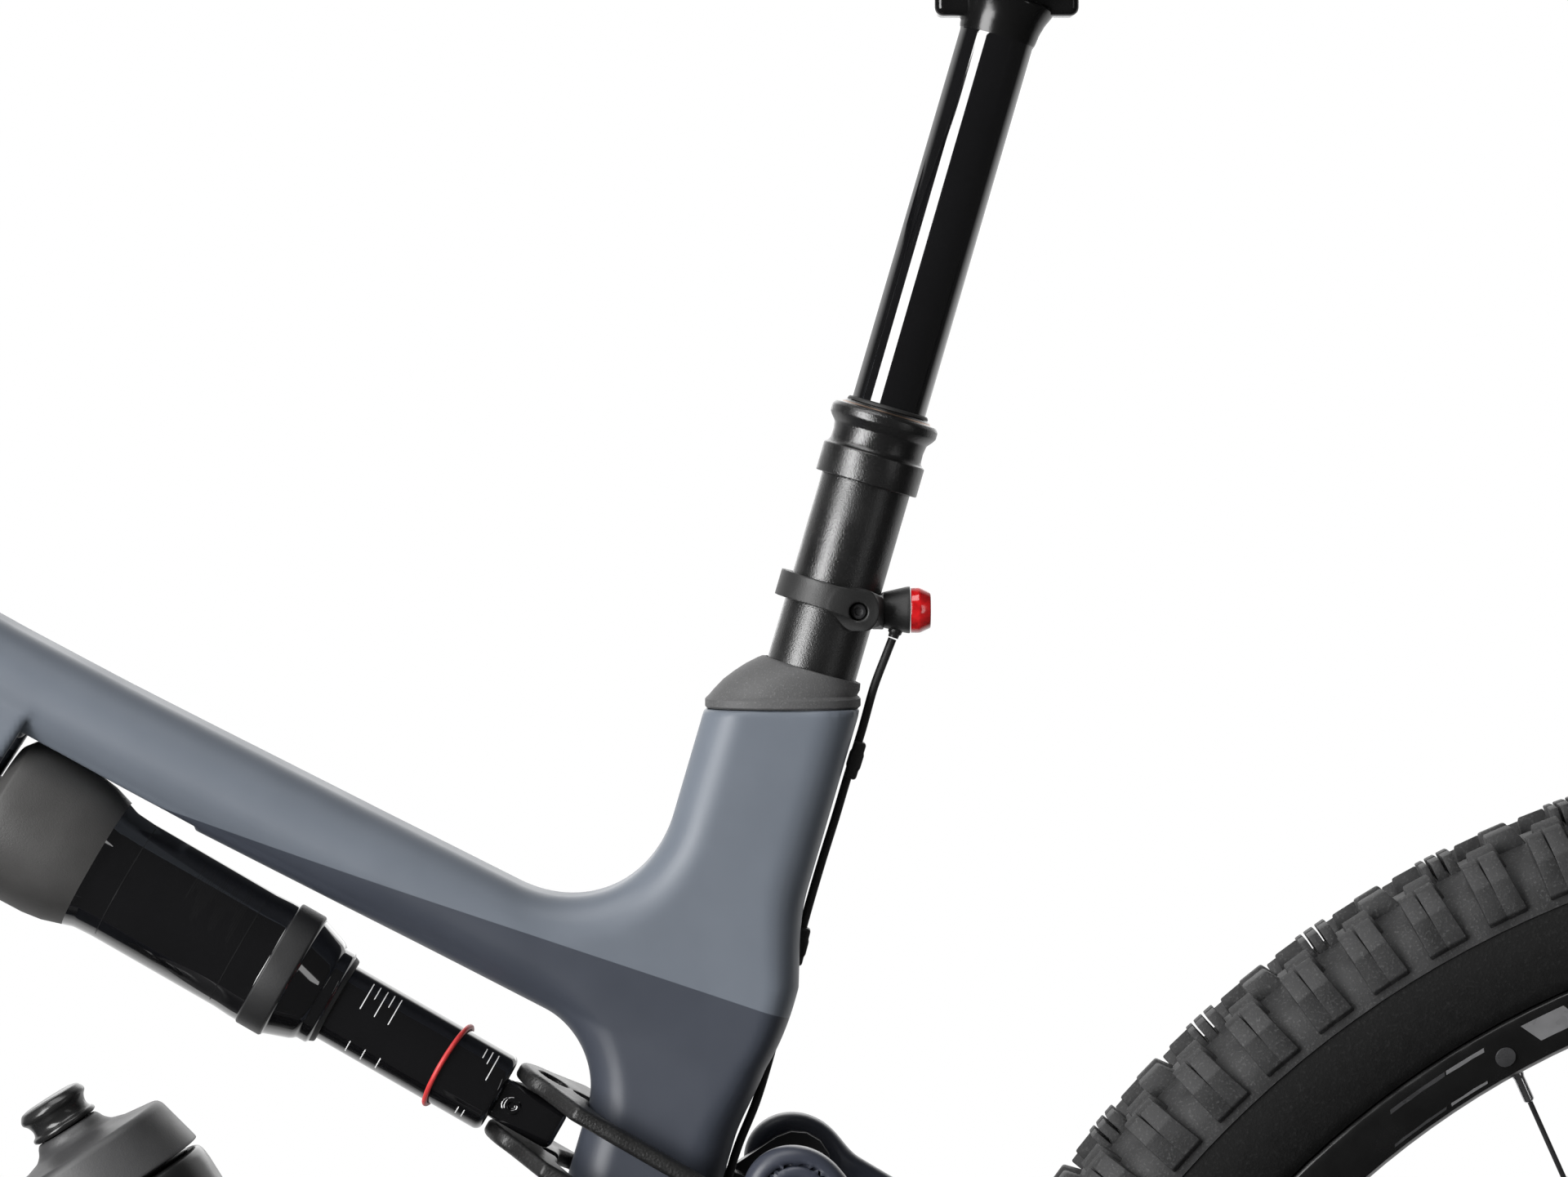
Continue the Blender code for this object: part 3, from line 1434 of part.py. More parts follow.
def make_bottle():
    up = BOTTLE_AXIS * -1
    nozzle = [
        (0, 0),
        (0.0105, 0),
        (0.0125, -0.0020),
        (0.0115, -0.0045),
        (0.0098, -0.0080),
        (0.0128, -0.0095),
        (0.0128, -0.0125),
        (0.0070, -0.0130),
        (0.0070, -0.0300),
        (0, -0.0300),
    ]
    turned("bottle_nozzle", BOTTLE_TOP, up, nozzle, PLASTIC, 20)
    lid = [
        (0.0120, -0.0132),
        (0.0135, -0.0175),
        (0.0300, -0.0195),
        (0.0345, -0.0230),
        (0.0350, -0.0440),
        (0.0320, -0.0440),
        (0.0320, -0.0320),
        (0.0076, -0.0320),
        (0.0076, -0.0132),
    ]
    turned("bottle_lid", BOTTLE_TOP, up, lid, PLASTIC, 20, True)
    body = [
        (0, -0.1925),
        (0.0330, -0.1900),
        (0.0330, -0.0520),
        (0.0285, -0.0450),
        (0.0285, -0.0330),
        (0.0310, -0.0330),
        (0.0310, -0.0450),
        (0.0355, -0.0470),
        (BOTTLE_RADIUS, -0.0520),
        (BOTTLE_RADIUS, -0.0950),
        (0.0340, -0.1010),
        (BOTTLE_RADIUS, -0.1070),
        (BOTTLE_RADIUS, -0.1900),
        (0.0335, -0.1950),
        (0, -0.1950),
    ]
    turned("bottle_body", BOTTLE_TOP, up, body, RUBBER, 20)
    make_cage(up)


def make_cage(up):
    """A cage that wraps the bottle from the right and is open toward the left."""
    outward = Vector((-BOTTLE_AXIS.z, 0, BOTTLE_AXIS.x))
    inner = BOTTLE_RADIUS + 0.0008
    cage = turned(
        "bottle_cage",
        BOTTLE_TOP,
        up,
        solid_of([(inner + 0.0030, -0.1180), (inner + 0.0030, -0.1320)], inner),
        PLASTIC,
        20,
        True,
    )
    opening = frame_axes(bottle_point(0.125, 0.0166, -0.0500), up, outward)
    cut(cage, box("cage_opening", (0.1068, 0.100, 0.060), opening, tool=True))
    foot = solid_of([(0.0290, -0.1958), (0.0290, -0.1990)], 0.0200)
    spine = box(
        "cage_spine",
        (0.0030, 0.0180, 0.0880),
        frame_axes(bottle_point(0.1560, -0.0390), up, outward),
        tool=True,
    )
    lip = box(
        "cage_lip",
        (0.0180, 0.0180, 0.0030),
        frame_axes(bottle_point(0.1975, -0.0300), up, outward),
        tool=True,
    )
    join(cage, spine, turned("cage_foot", BOTTLE_TOP, up, foot, PLASTIC, 20, True, True), lip)


make_main_frame()
make_battery()
make_motor()
make_seat_cover()
make_post()
make_saddle()
make_rear_light()
make_cable()
make_shock()
make_yoke()
make_rocker()
make_chainstays()
make_seatstays()
make_wheels()
make_cassette()
make_chain()
make_cranks()
make_derailleur()
make_calipers()
make_fork()
make_stem()
make_handlebar()
make_controls()
make_bottle()
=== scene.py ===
"""The looks of the mountain bike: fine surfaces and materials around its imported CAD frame."""

import json
import math

import bmesh
import bpy
import numpy as np
from mathutils import Matrix, Vector


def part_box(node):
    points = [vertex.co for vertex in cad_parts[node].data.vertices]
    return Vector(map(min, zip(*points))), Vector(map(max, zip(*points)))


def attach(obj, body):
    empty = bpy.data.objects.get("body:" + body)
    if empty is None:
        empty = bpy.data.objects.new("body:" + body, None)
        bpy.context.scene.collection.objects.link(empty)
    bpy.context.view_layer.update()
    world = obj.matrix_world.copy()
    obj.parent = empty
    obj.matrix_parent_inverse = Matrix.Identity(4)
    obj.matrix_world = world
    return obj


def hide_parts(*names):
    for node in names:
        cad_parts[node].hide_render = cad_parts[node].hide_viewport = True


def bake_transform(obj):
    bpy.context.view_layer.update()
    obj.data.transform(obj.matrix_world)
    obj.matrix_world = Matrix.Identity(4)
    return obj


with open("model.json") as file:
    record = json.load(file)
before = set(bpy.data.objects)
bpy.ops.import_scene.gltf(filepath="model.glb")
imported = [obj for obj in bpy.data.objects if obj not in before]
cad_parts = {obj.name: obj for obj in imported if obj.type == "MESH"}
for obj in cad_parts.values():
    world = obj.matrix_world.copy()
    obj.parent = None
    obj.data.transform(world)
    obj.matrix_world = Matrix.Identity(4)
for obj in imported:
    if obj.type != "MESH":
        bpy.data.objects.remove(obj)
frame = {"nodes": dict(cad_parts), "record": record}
NODES = frame["nodes"]
BODY_OF = {
    node: body for body, members in frame["record"]["behaviour"]["bodies"].items() for node in members
}
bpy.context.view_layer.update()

# Driving dimensions, in metres, as in the CAD

FRONT_AXLE = Vector((-0.613, 0, 0.376))
REAR_AXLE = Vector((0.613, 0, 0.376))
BOTTOM_BRACKET = Vector((0.169, 0, 0.346))
CRANK_LENGTH = 0.165
CRANK_FACE = 0.0860
PEDAL_MIDDLE = 0.1440
HEAD_ANGLE = math.radians(66.5)
CROWN_RACE = Vector((-0.3529, 0, 0.8638))
STEER_UP = Vector((math.cos(HEAD_ANGLE), 0, math.sin(HEAD_ANGLE)))
STEER_FORWARD = Vector((-math.sin(HEAD_ANGLE), 0, math.cos(HEAD_ANGLE)))
POST_POINT = Vector((0.2425, 0, 0.8321))
POST_AXIS = Vector((0.2807, 0, 0.9598)).normalized()
POST_RADIUS = 0.0158
STANCHION_RADIUS = 0.0133
MAIN_PIVOT = Vector((0.200, 0, 0.422))
HORST_PIVOT = Vector((0.573, 0, 0.343))
ROCKER_PIVOT = Vector((0.144, 0, 0.472))
STAY_PIVOT = Vector((0.2206, 0, 0.5987))
YOKE_PIVOT = Vector((0.1966, 0, 0.5828))
SHOCK_EYE = Vector((-0.0714, 0, 0.7366))
SHOCK_AXIS = (YOKE_PIVOT - SHOCK_EYE).normalized()
SHOCK_UP = Vector((-SHOCK_AXIS.z, 0, SHOCK_AXIS.x))
DOWN_TUBE_LOW = Vector((0.0025, 0, 0.4246))
DOWN_TUBE_AXIS = Vector((-0.1675, 0, 0.2654)).normalized()
BOTTLE_TOP = Vector((-0.0371, 0, 0.6239))
BOTTLE_AXIS = Vector((0.53, 0, -0.848)).normalized()
SEAT_TUBE_TOP = Vector((0.2158, 0, 0.7622))
SEAT_TUBE_LOW = Vector((0.1171, 0, 0.4250))
CHAIN_Y = 0.0525


def post(along):
    return POST_POINT + POST_AXIS * along


def shock(along):
    return SHOCK_EYE + SHOCK_AXIS * along


def steer(height, forward=0.0, y=0.0):
    return CROWN_RACE + STEER_UP * height + STEER_FORWARD * forward + Vector((0, y, 0))


def axes(origin, z_axis, x_hint=None):
    """A matrix at origin whose Z is z_axis and whose X is close to x_hint."""
    z = Vector(z_axis).normalized()
    if x_hint is None:
        x_hint = (0, -1, 0) if abs(z.y) < 0.9 else (0, 0, 1)
    x = (Vector(x_hint) - z * z.dot(Vector(x_hint))).normalized()
    matrix = Matrix((x, z.cross(x), z)).transposed().to_4x4()
    matrix.translation = origin
    return matrix


def side_axes(point, y=0.0, sign=1):
    """A matrix whose Z points along Y, out of the bike's right or left side."""
    return axes(point + Vector((0, y, 0)), (0, sign, 0), (0, 0, 1))


def turns(count, start=0.0):
    """Angles evenly spaced round a full turn."""
    return [math.tau * (i + start) / count for i in range(count)]


def polar(radius, angle, y=0.0):
    """A vector in side view, by its length and its angle from the rear axis."""
    return Vector((radius * math.cos(angle), y, radius * math.sin(angle)))


# Materials


def new_node(tree, kind, **values):
    made = tree.nodes.new("ShaderNode" + kind)
    for name, value in values.items():
        made.inputs[name.replace("_", " ")].default_value = value
    return made


def link_noise(tree, scale, detail=3.0, roughness=0.55):
    coords = new_node(tree, "TexCoord")
    noise = new_node(tree, "TexNoise", Scale=scale, Detail=detail, Roughness=roughness)
    tree.links.new(coords.outputs["Object"], noise.inputs["Vector"])
    return noise.outputs["Fac"]


def link_range(tree, value, low, high, start=0.35, end=0.65):
    ranged = new_node(tree, "MapRange", From_Min=start, From_Max=end, To_Min=low, To_Max=high)
    tree.links.new(value, ranged.inputs["Value"])
    return ranged.outputs["Result"]


def link_mix(tree, factor, first, second):
    """Mixes two colours, each a tuple or a socket, by a factor socket."""
    mix = new_node(tree, "Mix")
    mix.data_type = "RGBA"
    tree.links.new(factor, mix.inputs["Factor"])
    for socket, colour in ((mix.inputs["A"], first), (mix.inputs["B"], second)):
        if isinstance(colour, tuple):
            socket.default_value = (*colour, 1)
        else:
            tree.links.new(colour, socket)
    return mix.outputs["Result"]


def scaled(colour, factor):
    return tuple(min(max(channel * factor, 0), 1) for channel in colour)


def surface(
    name,
    colour,
    roughness,
    metallic=0.0,
    mottle=0.12,
    mottle_scale=45.0,
    spread=0.06,
    grain=0.0,
    grain_scale=1400.0,
    speck=0.0,
    specular=0.5,
    coat=0.0,
):
    """A material whose colour and roughness drift slowly and whose grain is a fine bump.

    speck brightens the tops of the grain, as on powder coat or dusty rubber.
    """
    made = bpy.data.materials.new(name)
    made.use_nodes = True
    tree = made.node_tree
    shader = tree.nodes["Principled BSDF"]
    shader.inputs["Metallic"].default_value = metallic
    shader.inputs["Specular IOR Level"].default_value = specular
    shader.inputs["Coat Weight"].default_value = coat
    shader.inputs["Coat Roughness"].default_value = 0.05
    drift = link_noise(tree, mottle_scale)
    factor = link_range(tree, drift, 0.0, 1.0)
    base = link_mix(tree, factor, scaled(colour, 1 - mottle), scaled(colour, 1 + mottle))
    rough = link_range(tree, drift, max(roughness - spread, 0.02), min(roughness + spread, 1))
    tree.links.new(rough, shader.inputs["Roughness"])
    if grain or speck:
        fine = link_noise(tree, grain_scale, 2.0, 0.6)
        if grain:
            bump = new_node(tree, "Bump", Strength=grain, Distance=0.0002)
            tree.links.new(fine, bump.inputs["Height"])
            tree.links.new(bump.outputs["Normal"], shader.inputs["Normal"])
        if speck:
            tops = link_range(tree, fine, 0.0, 1.0, 0.55, 0.75)
            base = link_mix(tree, tops, base, tuple(min(c + speck, 1) for c in colour))
    tree.links.new(base, shader.inputs["Base Color"])
    return made


def two_tone_paint():
    """Satin paint in two blue greys that meet at a straight line along the frame."""
    made = bpy.data.materials.new("two_tone_paint")
    made.use_nodes = True
    tree = made.node_tree
    shader = tree.nodes["Principled BSDF"]
    shader.inputs["Specular IOR Level"].default_value = 0.42
    coords = new_node(tree, "TexCoord")
    split = new_node(tree, "SeparateXYZ")
    tree.links.new(coords.outputs["Object"], split.inputs["Vector"])
    (x1, z1), (x2, z2) = PAINT_LINE
    slope = (z2 - z1) / (x2 - x1)
    line = new_node(tree, "Math")
    line.operation = "MULTIPLY_ADD"
    line.inputs[1].default_value = -slope
    tree.links.new(split.outputs["X"], line.inputs[0])
    tree.links.new(split.outputs["Z"], line.inputs[2])
    edge = z1 - slope * x1
    side = link_range(tree, line.outputs["Value"], 0.0, 1.0, edge - 0.00015, edge + 0.00015)
    drift = link_noise(tree, 30.0)
    factor = link_range(tree, drift, 0.0, 1.0)
    upper = link_mix(tree, factor, scaled(UPPER_PAINT, 0.97), scaled(UPPER_PAINT, 1.03))
    lower = link_mix(tree, factor, scaled(LOWER_PAINT, 0.96), scaled(LOWER_PAINT, 1.04))
    tree.links.new(link_mix(tree, side, lower, upper), shader.inputs["Base Color"])
    rough = link_range(tree, drift, 0.40, 0.46)
    tree.links.new(rough, shader.inputs["Roughness"])
    return made


PAINT_LINE = ((0.0008, 0.7287), (0.2113, 0.6582))
UPPER_PAINT = (0.124, 0.141, 0.167)
LOWER_PAINT = (0.043, 0.049, 0.064)
TWO_TONE = two_tone_paint()
STAY_PAINT = surface("stay_paint", (0.033, 0.037, 0.052), 0.40, mottle=0.05, spread=0.03)
POWDER_BLACK = surface(
    "powder_black",
    (0.009, 0.009, 0.009),
    0.27,
    mottle=0.1,
    grain=0.55,
    grain_scale=1700,
    speck=0.008,
    specular=0.8,
)
ROUGH_BLACK = surface(
    "rough_black", (0.008, 0.008, 0.008), 0.40, mottle=0.1, grain=0.9, grain_scale=1100, speck=0.014
)
GLOSS_BLACK = surface(
    "gloss_black", (0.004, 0.004, 0.0045), 0.05, mottle=0.1, spread=0.015, specular=0.9, coat=0.6
)
HEAD_BLACK = surface("head_black", (0.006, 0.006, 0.006), 0.16, mottle=0.1, grain=0.1)
SATIN_BLACK = surface("satin_black", (0.016, 0.016, 0.017), 0.34, mottle=0.1, grain=0.12)
MATTE_BLACK = surface("matte_black", (0.040, 0.039, 0.038), 0.55, mottle=0.08, grain=0.35, grain_scale=1600)
BAND_BLACK = surface("band_black", (0.016, 0.016, 0.0165), 0.5, mottle=0.08, grain=0.2)
FORK_BLACK = surface("fork_black", (0.012, 0.012, 0.013), 0.22, mottle=0.1, coat=0.3)
PLASTIC_BLACK = surface(
    "moulded_plastic", (0.018, 0.018, 0.018), 0.45, mottle=0.1, grain=0.3, grain_scale=1800
)
MOTOR_GREY = surface("motor_casting", (0.030, 0.030, 0.031), 0.5, mottle=0.12, grain=0.5, grain_scale=900)
COVER_RUBBER = surface(
    "cover_rubber", (0.078, 0.078, 0.079), 0.62, mottle=0.08, grain=0.6, grain_scale=1500, speck=0.05
)
BLACK_RUBBER = surface("black_rubber", (0.014, 0.014, 0.014), 0.55, mottle=0.12, grain=0.25)
GRIP_RUBBER = surface("grip_rubber", (0.020, 0.020, 0.020), 0.75, mottle=0.15, grain=0.5)
TREAD_RUBBER = surface(
    "tread_rubber",
    (0.021, 0.021, 0.0215),
    0.68,
    mottle=0.32,
    mottle_scale=85,
    grain=0.6,
    grain_scale=1100,
    speck=0.04,
)
SIDEWALL = surface(
    "sidewall_rubber",
    (0.0045, 0.0045, 0.0045),
    0.85,
    mottle=0.25,
    mottle_scale=220,
    grain=1.0,
    grain_scale=900,
    speck=0.012,
)
RIM_BLACK = surface("rim_black", (0.010, 0.010, 0.010), 0.2, mottle=0.15, mottle_scale=90, spread=0.08)
RIM_GREY = surface("rim_grey", (0.200, 0.200, 0.205), 0.3, mottle=0.1, mottle_scale=120)
RIM_DARK = surface("rim_dark_grey", (0.055, 0.055, 0.057), 0.3, mottle=0.15, mottle_scale=120)
STEEL = surface("brushed_steel", (0.42, 0.42, 0.43), 0.28, 1.0, mottle=0.12, grain=0.15, grain_scale=900)
DARK_STEEL = surface("dark_steel", (0.13, 0.13, 0.135), 0.32, 1.0, mottle=0.2, grain=0.15)
SILVER = surface("nickel_silver", (0.62, 0.62, 0.63), 0.22, 1.0, mottle=0.08)
BRONZE = surface("bronze", (0.36, 0.25, 0.19), 0.38, 1.0, mottle=0.15)
LENS_RED = surface(
    "lens_red", (0.50, 0.008, 0.010), 0.12, mottle=0.3, mottle_scale=260, specular=0.7, coat=0.6
)
RED_RUBBER = surface("red_rubber", (0.53, 0.035, 0.035), 0.45, mottle=0.08)
WHITE_INK = surface("white_ink", (0.72, 0.72, 0.72), 0.5, mottle=0.05)
GREY_INK = surface("grey_ink", (0.011, 0.011, 0.0115), 0.2, mottle=0.1)
BOTTLE_LID = surface(
    "bottle_lid_plastic", (0.044, 0.044, 0.045), 0.48, mottle=0.07, grain=0.35, grain_scale=1500
)
BOTTLE_BLACK = surface("bottle_plastic", (0.013, 0.013, 0.013), 0.28, mottle=0.1)
NOZZLE_BLACK = surface("nozzle_rubber", (0.017, 0.017, 0.017), 0.24, mottle=0.12, spread=0.05)
SADDLE_CLOTH = surface("saddle_cloth", (0.016, 0.016, 0.017), 0.6, mottle=0.12, grain=0.8, grain_scale=800)

# Mesh making


def link_object(name, data, paints=()):
    made = bpy.data.objects.new(name, data)
    bpy.context.scene.collection.objects.link(made)
    for paint in paints:
        data.materials.append(paint)
    return made


def link_piece(name, mesh, paints, body, replaced=(), slot=None):
    """Puts a mesh, or a list that it joins, in the scene as a piece that rides on a body."""
    mesh = joined(name, mesh) if isinstance(mesh, list) else mesh
    piece = link_object(name, mesh, paints if isinstance(paints, list) else [paints])
    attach(piece, body)
    if replaced:
        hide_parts(*replaced)
    return piece


def mesh_from(name, points, faces, smooth_angle=30.0, face_paints=None, turned_out=True):
    mesh = bpy.data.meshes.new(name)
    mesh.from_pydata([tuple(point) for point in points], [], [tuple(face) for face in faces])
    if face_paints is not None:
        mesh.polygons.foreach_set("material_index", face_paints)
    mesh.shade_smooth()
    mesh.set_sharp_from_angle(angle=math.radians(smooth_angle))
    mesh.update()
    if turned_out:
        bm = bmesh.new()
        bm.from_mesh(mesh)
        bmesh.ops.recalc_face_normals(bm, faces=bm.faces)
        bm.to_mesh(mesh)
        bm.free()
    return mesh


def softened(profile, radius, closed):
    """Rounds each corner of a (radius, height, paint) profile with a short arc.

    Corners on the axis and nearly straight ones stay as they are.
    """
    count = len(profile)
    points = []
    for i, (r, h, paint) in enumerate(profile):
        here = Vector((r, h))
        if not closed and i in (0, count - 1):
            points.append((r, h, paint))
            continue
        before = Vector(profile[i - 1][:2]) - here
        after = Vector(profile[(i + 1) % count][:2]) - here
        if r < 1e-6 or before.angle(after) > math.radians(168):
            points.append((r, h, paint))
            continue
        reach = min(radius, before.length * 0.45, after.length * 0.45)
        first = here + before.normalized() * reach
        last = here + after.normalized() * reach
        previous = profile[i - 1][2]
        for step in range(4):
            t = step / 3
            point = first * (1 - t) ** 2 + here * 2 * t * (1 - t) + last * t * t
            points.append((point.x, point.y, previous if step < 2 else paint))
    return points


def lathe(name, matrix, profile, steps=64, closed=False, soft=0.0006):
    """A mesh turned about the matrix's Z from (radius, height[, paint index]) points.

    The paint index is that of the stretch that starts at the point.
    """
    profile = [(p[0], p[1], p[2] if len(p) > 2 else 0) for p in profile]
    profile = softened(profile, soft, closed) if soft else profile
    points = []
    rows = []
    for radius, height, _ in profile:
        if radius < 1e-6:
            rows.append([len(points)] * steps)
            points.append(matrix @ Vector((0, 0, height)))
            continue
        rows.append(list(range(len(points), len(points) + steps)))
        for angle in turns(steps):
            points.append(matrix @ Vector((radius * math.cos(angle), radius * math.sin(angle), height)))
    faces = []
    paints = []
    spans = len(rows) if closed else len(rows) - 1
    for k in range(spans):
        low = rows[k]
        high = rows[(k + 1) % len(rows)]
        for i in range(steps):
            j = (i + 1) % steps
            face = list(dict.fromkeys((low[i], high[i], high[j], low[j])))
            if len(face) > 2:
                faces.append(face)
                paints.append(profile[k][2])
    return mesh_from(name, points, faces, 50.0, paints)


def ring_profile(outer, inner):
    """Closes an outer profile with a straight bore."""
    return [*outer, (inner, outer[-1][1]), (inner, outer[0][1])]


def bolt_head(floor, socket, rim, top, land, edge, outer, side, foot=-0.001):
    """The profile of a bolt head: a flat socket floor, a rim round it, a land and a bevelled side."""
    return [(0, floor), (socket, floor), (rim, top), (land, edge), (outer, side), (outer, foot), (0, foot)]


def disc_profile(radius, top, foot):
    return [(0, top), (radius, top), (radius, foot), (0, foot)]


def joined(name, meshes):
    bm = bmesh.new()
    for mesh in meshes:
        bm.from_mesh(mesh)
    made = bpy.data.meshes.new(name)
    bm.to_mesh(made)
    bm.free()
    return made


def repaint(mesh, index):
    mesh.polygons.foreach_set("material_index", [index] * len(mesh.polygons))
    return mesh


def smooth_curve(points, steps):
    """A Catmull-Rom curve through points of any size."""
    rows = [np.array(point, float) for point in points]
    rows = [rows[0] * 2 - rows[1], *rows, rows[-1] * 2 - rows[-2]]
    curve = []
    for a, b, c, d in zip(rows, rows[1:], rows[2:], rows[3:]):
        for i in range(steps):
            t = i / steps
            square = (a * 2 - b * 5 + c * 4 - d) * t**2
            cube = (b * 3 - a - c * 3 + d) * t**3
            curve.append((b * 2 + (c - a) * t + square + cube) / 2)
    curve.append(rows[-2])
    return curve


def sweep(name, route, radii, sides=16, up=(0, 1, 0)):
    """A round bar along a route, with its ends closed."""
    route = [Vector(point) for point in route]
    rings = []
    for i, point in enumerate(route):
        along = (route[min(i + 1, len(route) - 1)] - route[max(i - 1, 0)]).normalized()
        across = along.cross(Vector(up))
        across = across.normalized() if across.length > 1e-3 else along.orthogonal().normalized()
        third = across.cross(along).normalized()
        ring = []
        for angle in turns(sides):
            ring.append(point + across * radii[i] * math.cos(angle) + third * radii[i] * math.sin(angle))
        rings.append(ring)
    return skin(name, rings)


def skin(name, rings, smooth_angle=50.0, closed=False):
    """A skin over rings with equal counts, its ends closed by flat fans or joined to each other."""
    count = len(rings[0])
    points = [point for ring in rings for point in ring]
    faces = []
    for k in range(len(rings) if closed else len(rings) - 1):
        low = k * count
        high = (k + 1) % len(rings) * count
        for i in range(count):
            j = (i + 1) % count
            faces.append((low + i, low + j, high + j, high + i))
    if not closed:
        for ring, start in ((rings[0], 0), (rings[-1], (len(rings) - 1) * count)):
            points.append(sum((Vector(point) for point in ring), Vector()) / count)
            for i in range(count):
                faces.append((start + i, start + (i + 1) % count, len(points) - 1))
    return mesh_from(name, points, faces, smooth_angle)


def ribbon(points):
    """A thin strip through cross sections of four points each."""
    last = len(points) - 4
    faces = [(0, 1, 3, 2), (last, last + 2, last + 3, last + 1)]
    for a in range(0, last, 4):
        b = a + 4
        faces += [(a, b, b + 1, a + 1), (a + 2, a + 3, b + 3, b + 2)]
        faces += [(a, a + 2, b + 2, b), (a + 1, b + 1, b + 3, a + 3)]
    return mesh_from("ribbon", points, faces)


def turned(name, matrix, profile, paint, node, slot, steps=96, closed=False, soft=0.0006):
    """A turned piece that stands for a CAD node."""
    mesh = lathe(name, matrix, profile, steps, closed, soft)
    link_piece(name, mesh, paint, BODY_OF[node], (node,), slot)


def refined(node, paint, width, segments, slot):
    """A copy of a CAD node with its coplanar faces merged and its edges rounded."""
    source = NODES[node]
    bm = bmesh.new()
    bm.from_mesh(source.data)
    bmesh.ops.remove_doubles(bm, verts=bm.verts, dist=0.00002)
    bmesh.ops.dissolve_limit(bm, angle_limit=math.radians(0.6), verts=bm.verts, edges=bm.edges)
    edges = [e for e in bm.edges if len(e.link_faces) == 2 and e.calc_face_angle(0) > math.radians(32)]
    bmesh.ops.bevel(
        bm, geom=edges, offset=width, segments=segments, profile=0.5, affect="EDGES", clamp_overlap=True
    )
    mesh = bpy.data.meshes.new(node + "_surface")
    bm.to_mesh(mesh)
    bm.free()
    mesh.shade_smooth()
    mesh.set_sharp_from_angle(angle=math.radians(40))
    link_piece(node + "_surface", mesh, paint, BODY_OF[node], (node,), slot)


# Distance fields: each takes an array of points and gives the distance to a shape, negative inside


def smaller(a, b, reach):
    """A union whose seam is filled over a reach."""
    blend = np.maximum(reach - np.abs(a - b), 0) / reach
    return np.minimum(a, b) - blend**2 * reach / 4


def larger(a, b, reach):
    return -smaller(-a, -b, reach)


def tapered(x, z, route):
    """Distance in side view to a bar along (x, z, half depth) points."""
    nearest = np.full(x.shape, 1e3)
    for (x1, z1, h1), (x2, z2, h2) in zip(route, route[1:]):
        dx = x2 - x1
        dz = z2 - z1
        t = np.clip(((x - x1) * dx + (z - z1) * dz) / (dx * dx + dz * dz), 0, 1)
        away = np.hypot(x - x1 - t * dx, z - z1 - t * dz) - (h1 + (h2 - h1) * t)
        nearest = np.minimum(nearest, away)
    return nearest


def polygon(x, z, outline):
    """Signed distance in side view to a closed outline."""
    nearest = np.full(x.shape, 1e3)
    inside = np.zeros(x.shape, bool)
    for (x1, z1), (x2, z2) in zip(outline, outline[1:] + outline[:1]):
        dx = x2 - x1
        dz = z2 - z1
        t = np.clip(((x - x1) * dx + (z - z1) * dz) / (dx * dx + dz * dz), 0, 1)
        nearest = np.minimum(nearest, np.hypot(x - x1 - t * dx, z - z1 - t * dz))
        crosses = (z1 > z) != (z2 > z)
        at = x1 + (z - z1) / (dz if dz else 1e-12) * dx
        inside ^= crosses & (x < at)
    return np.where(inside, -nearest, nearest)


def rounded(a, b, corner):
    """The overlap of two distances, with an edge rounded outward by corner."""
    return np.hypot(np.maximum(a, 0), np.maximum(b, 0)) + np.minimum(np.maximum(a, b), 0) - corner


def slab(flat, y, half, corner):
    """A side-view shape given a half thickness in y, with rounded edges."""
    return rounded(flat + corner, np.abs(y) - (half - corner), corner)


def side_distance(p, point):
    return np.hypot(p[..., 0] - point[0], p[..., 2] - point[2])


def local(p, matrix):
    inverse = np.array(matrix.inverted())
    return p @ inverse[:3, :3].T + inverse[:3, 3]


def bar(p, start, end, radius, end_radius=None):
    """Distance to a cylinder or cone with flat ends."""
    start = np.array(start)
    axis = np.array(end) - start
    length = np.linalg.norm(axis)
    axis = axis / length
    along = (p - start) @ axis
    away = np.linalg.norm(p - start - along[..., None] * axis, axis=-1)
    width = radius if end_radius is None else radius + (end_radius - radius) * np.clip(along / length, 0, 1)
    return np.maximum(away - width, np.abs(along - length / 2) - length / 2)


def pin(p, point, low, high, radius):
    """Distance to a cylinder along Y through a side-view point."""
    away = side_distance(p, point) - radius
    return np.maximum(away, np.abs(p[..., 1] - (low + high) / 2) - (high - low) / 2)


def brick(p, matrix, size, corner=0.0):
    """Distance to a box in the matrix's axes, with rounded edges."""
    q = np.abs(local(p, matrix)) - (np.array(size) / 2 - corner)
    return np.linalg.norm(np.maximum(q, 0), axis=-1) + np.minimum(q.max(-1), 0) - corner


BLOCK = 5


def sampled(field, low, cell, shape):
    """Samples a field on a grid, finely only in the blocks that its surface can reach."""
    blocks = [-(-n // BLOCK) for n in shape]
    centre = (BLOCK - 1) / 2
    index = np.stack(np.meshgrid(*[np.arange(n) for n in blocks], indexing="ij"), -1).reshape(-1, 3)
    coarse = field(low + (index * BLOCK + centre) * cell)
    values = np.repeat(np.repeat(np.repeat(coarse.reshape(blocks), BLOCK, 0), BLOCK, 1), BLOCK, 2)
    near = index[np.abs(coarse) < BLOCK * cell * 1.5]
    step = np.stack(np.meshgrid(*[np.arange(BLOCK)] * 3, indexing="ij"), -1).reshape(-1, 3)
    for start in range(0, len(near), 4000):
        part = near[start : start + 4000]
        spots = (part[:, None, :] * BLOCK + step[None]).reshape(-1, 3)
        values[spots[:, 0], spots[:, 1], spots[:, 2]] = field(low + spots * cell)
    return values


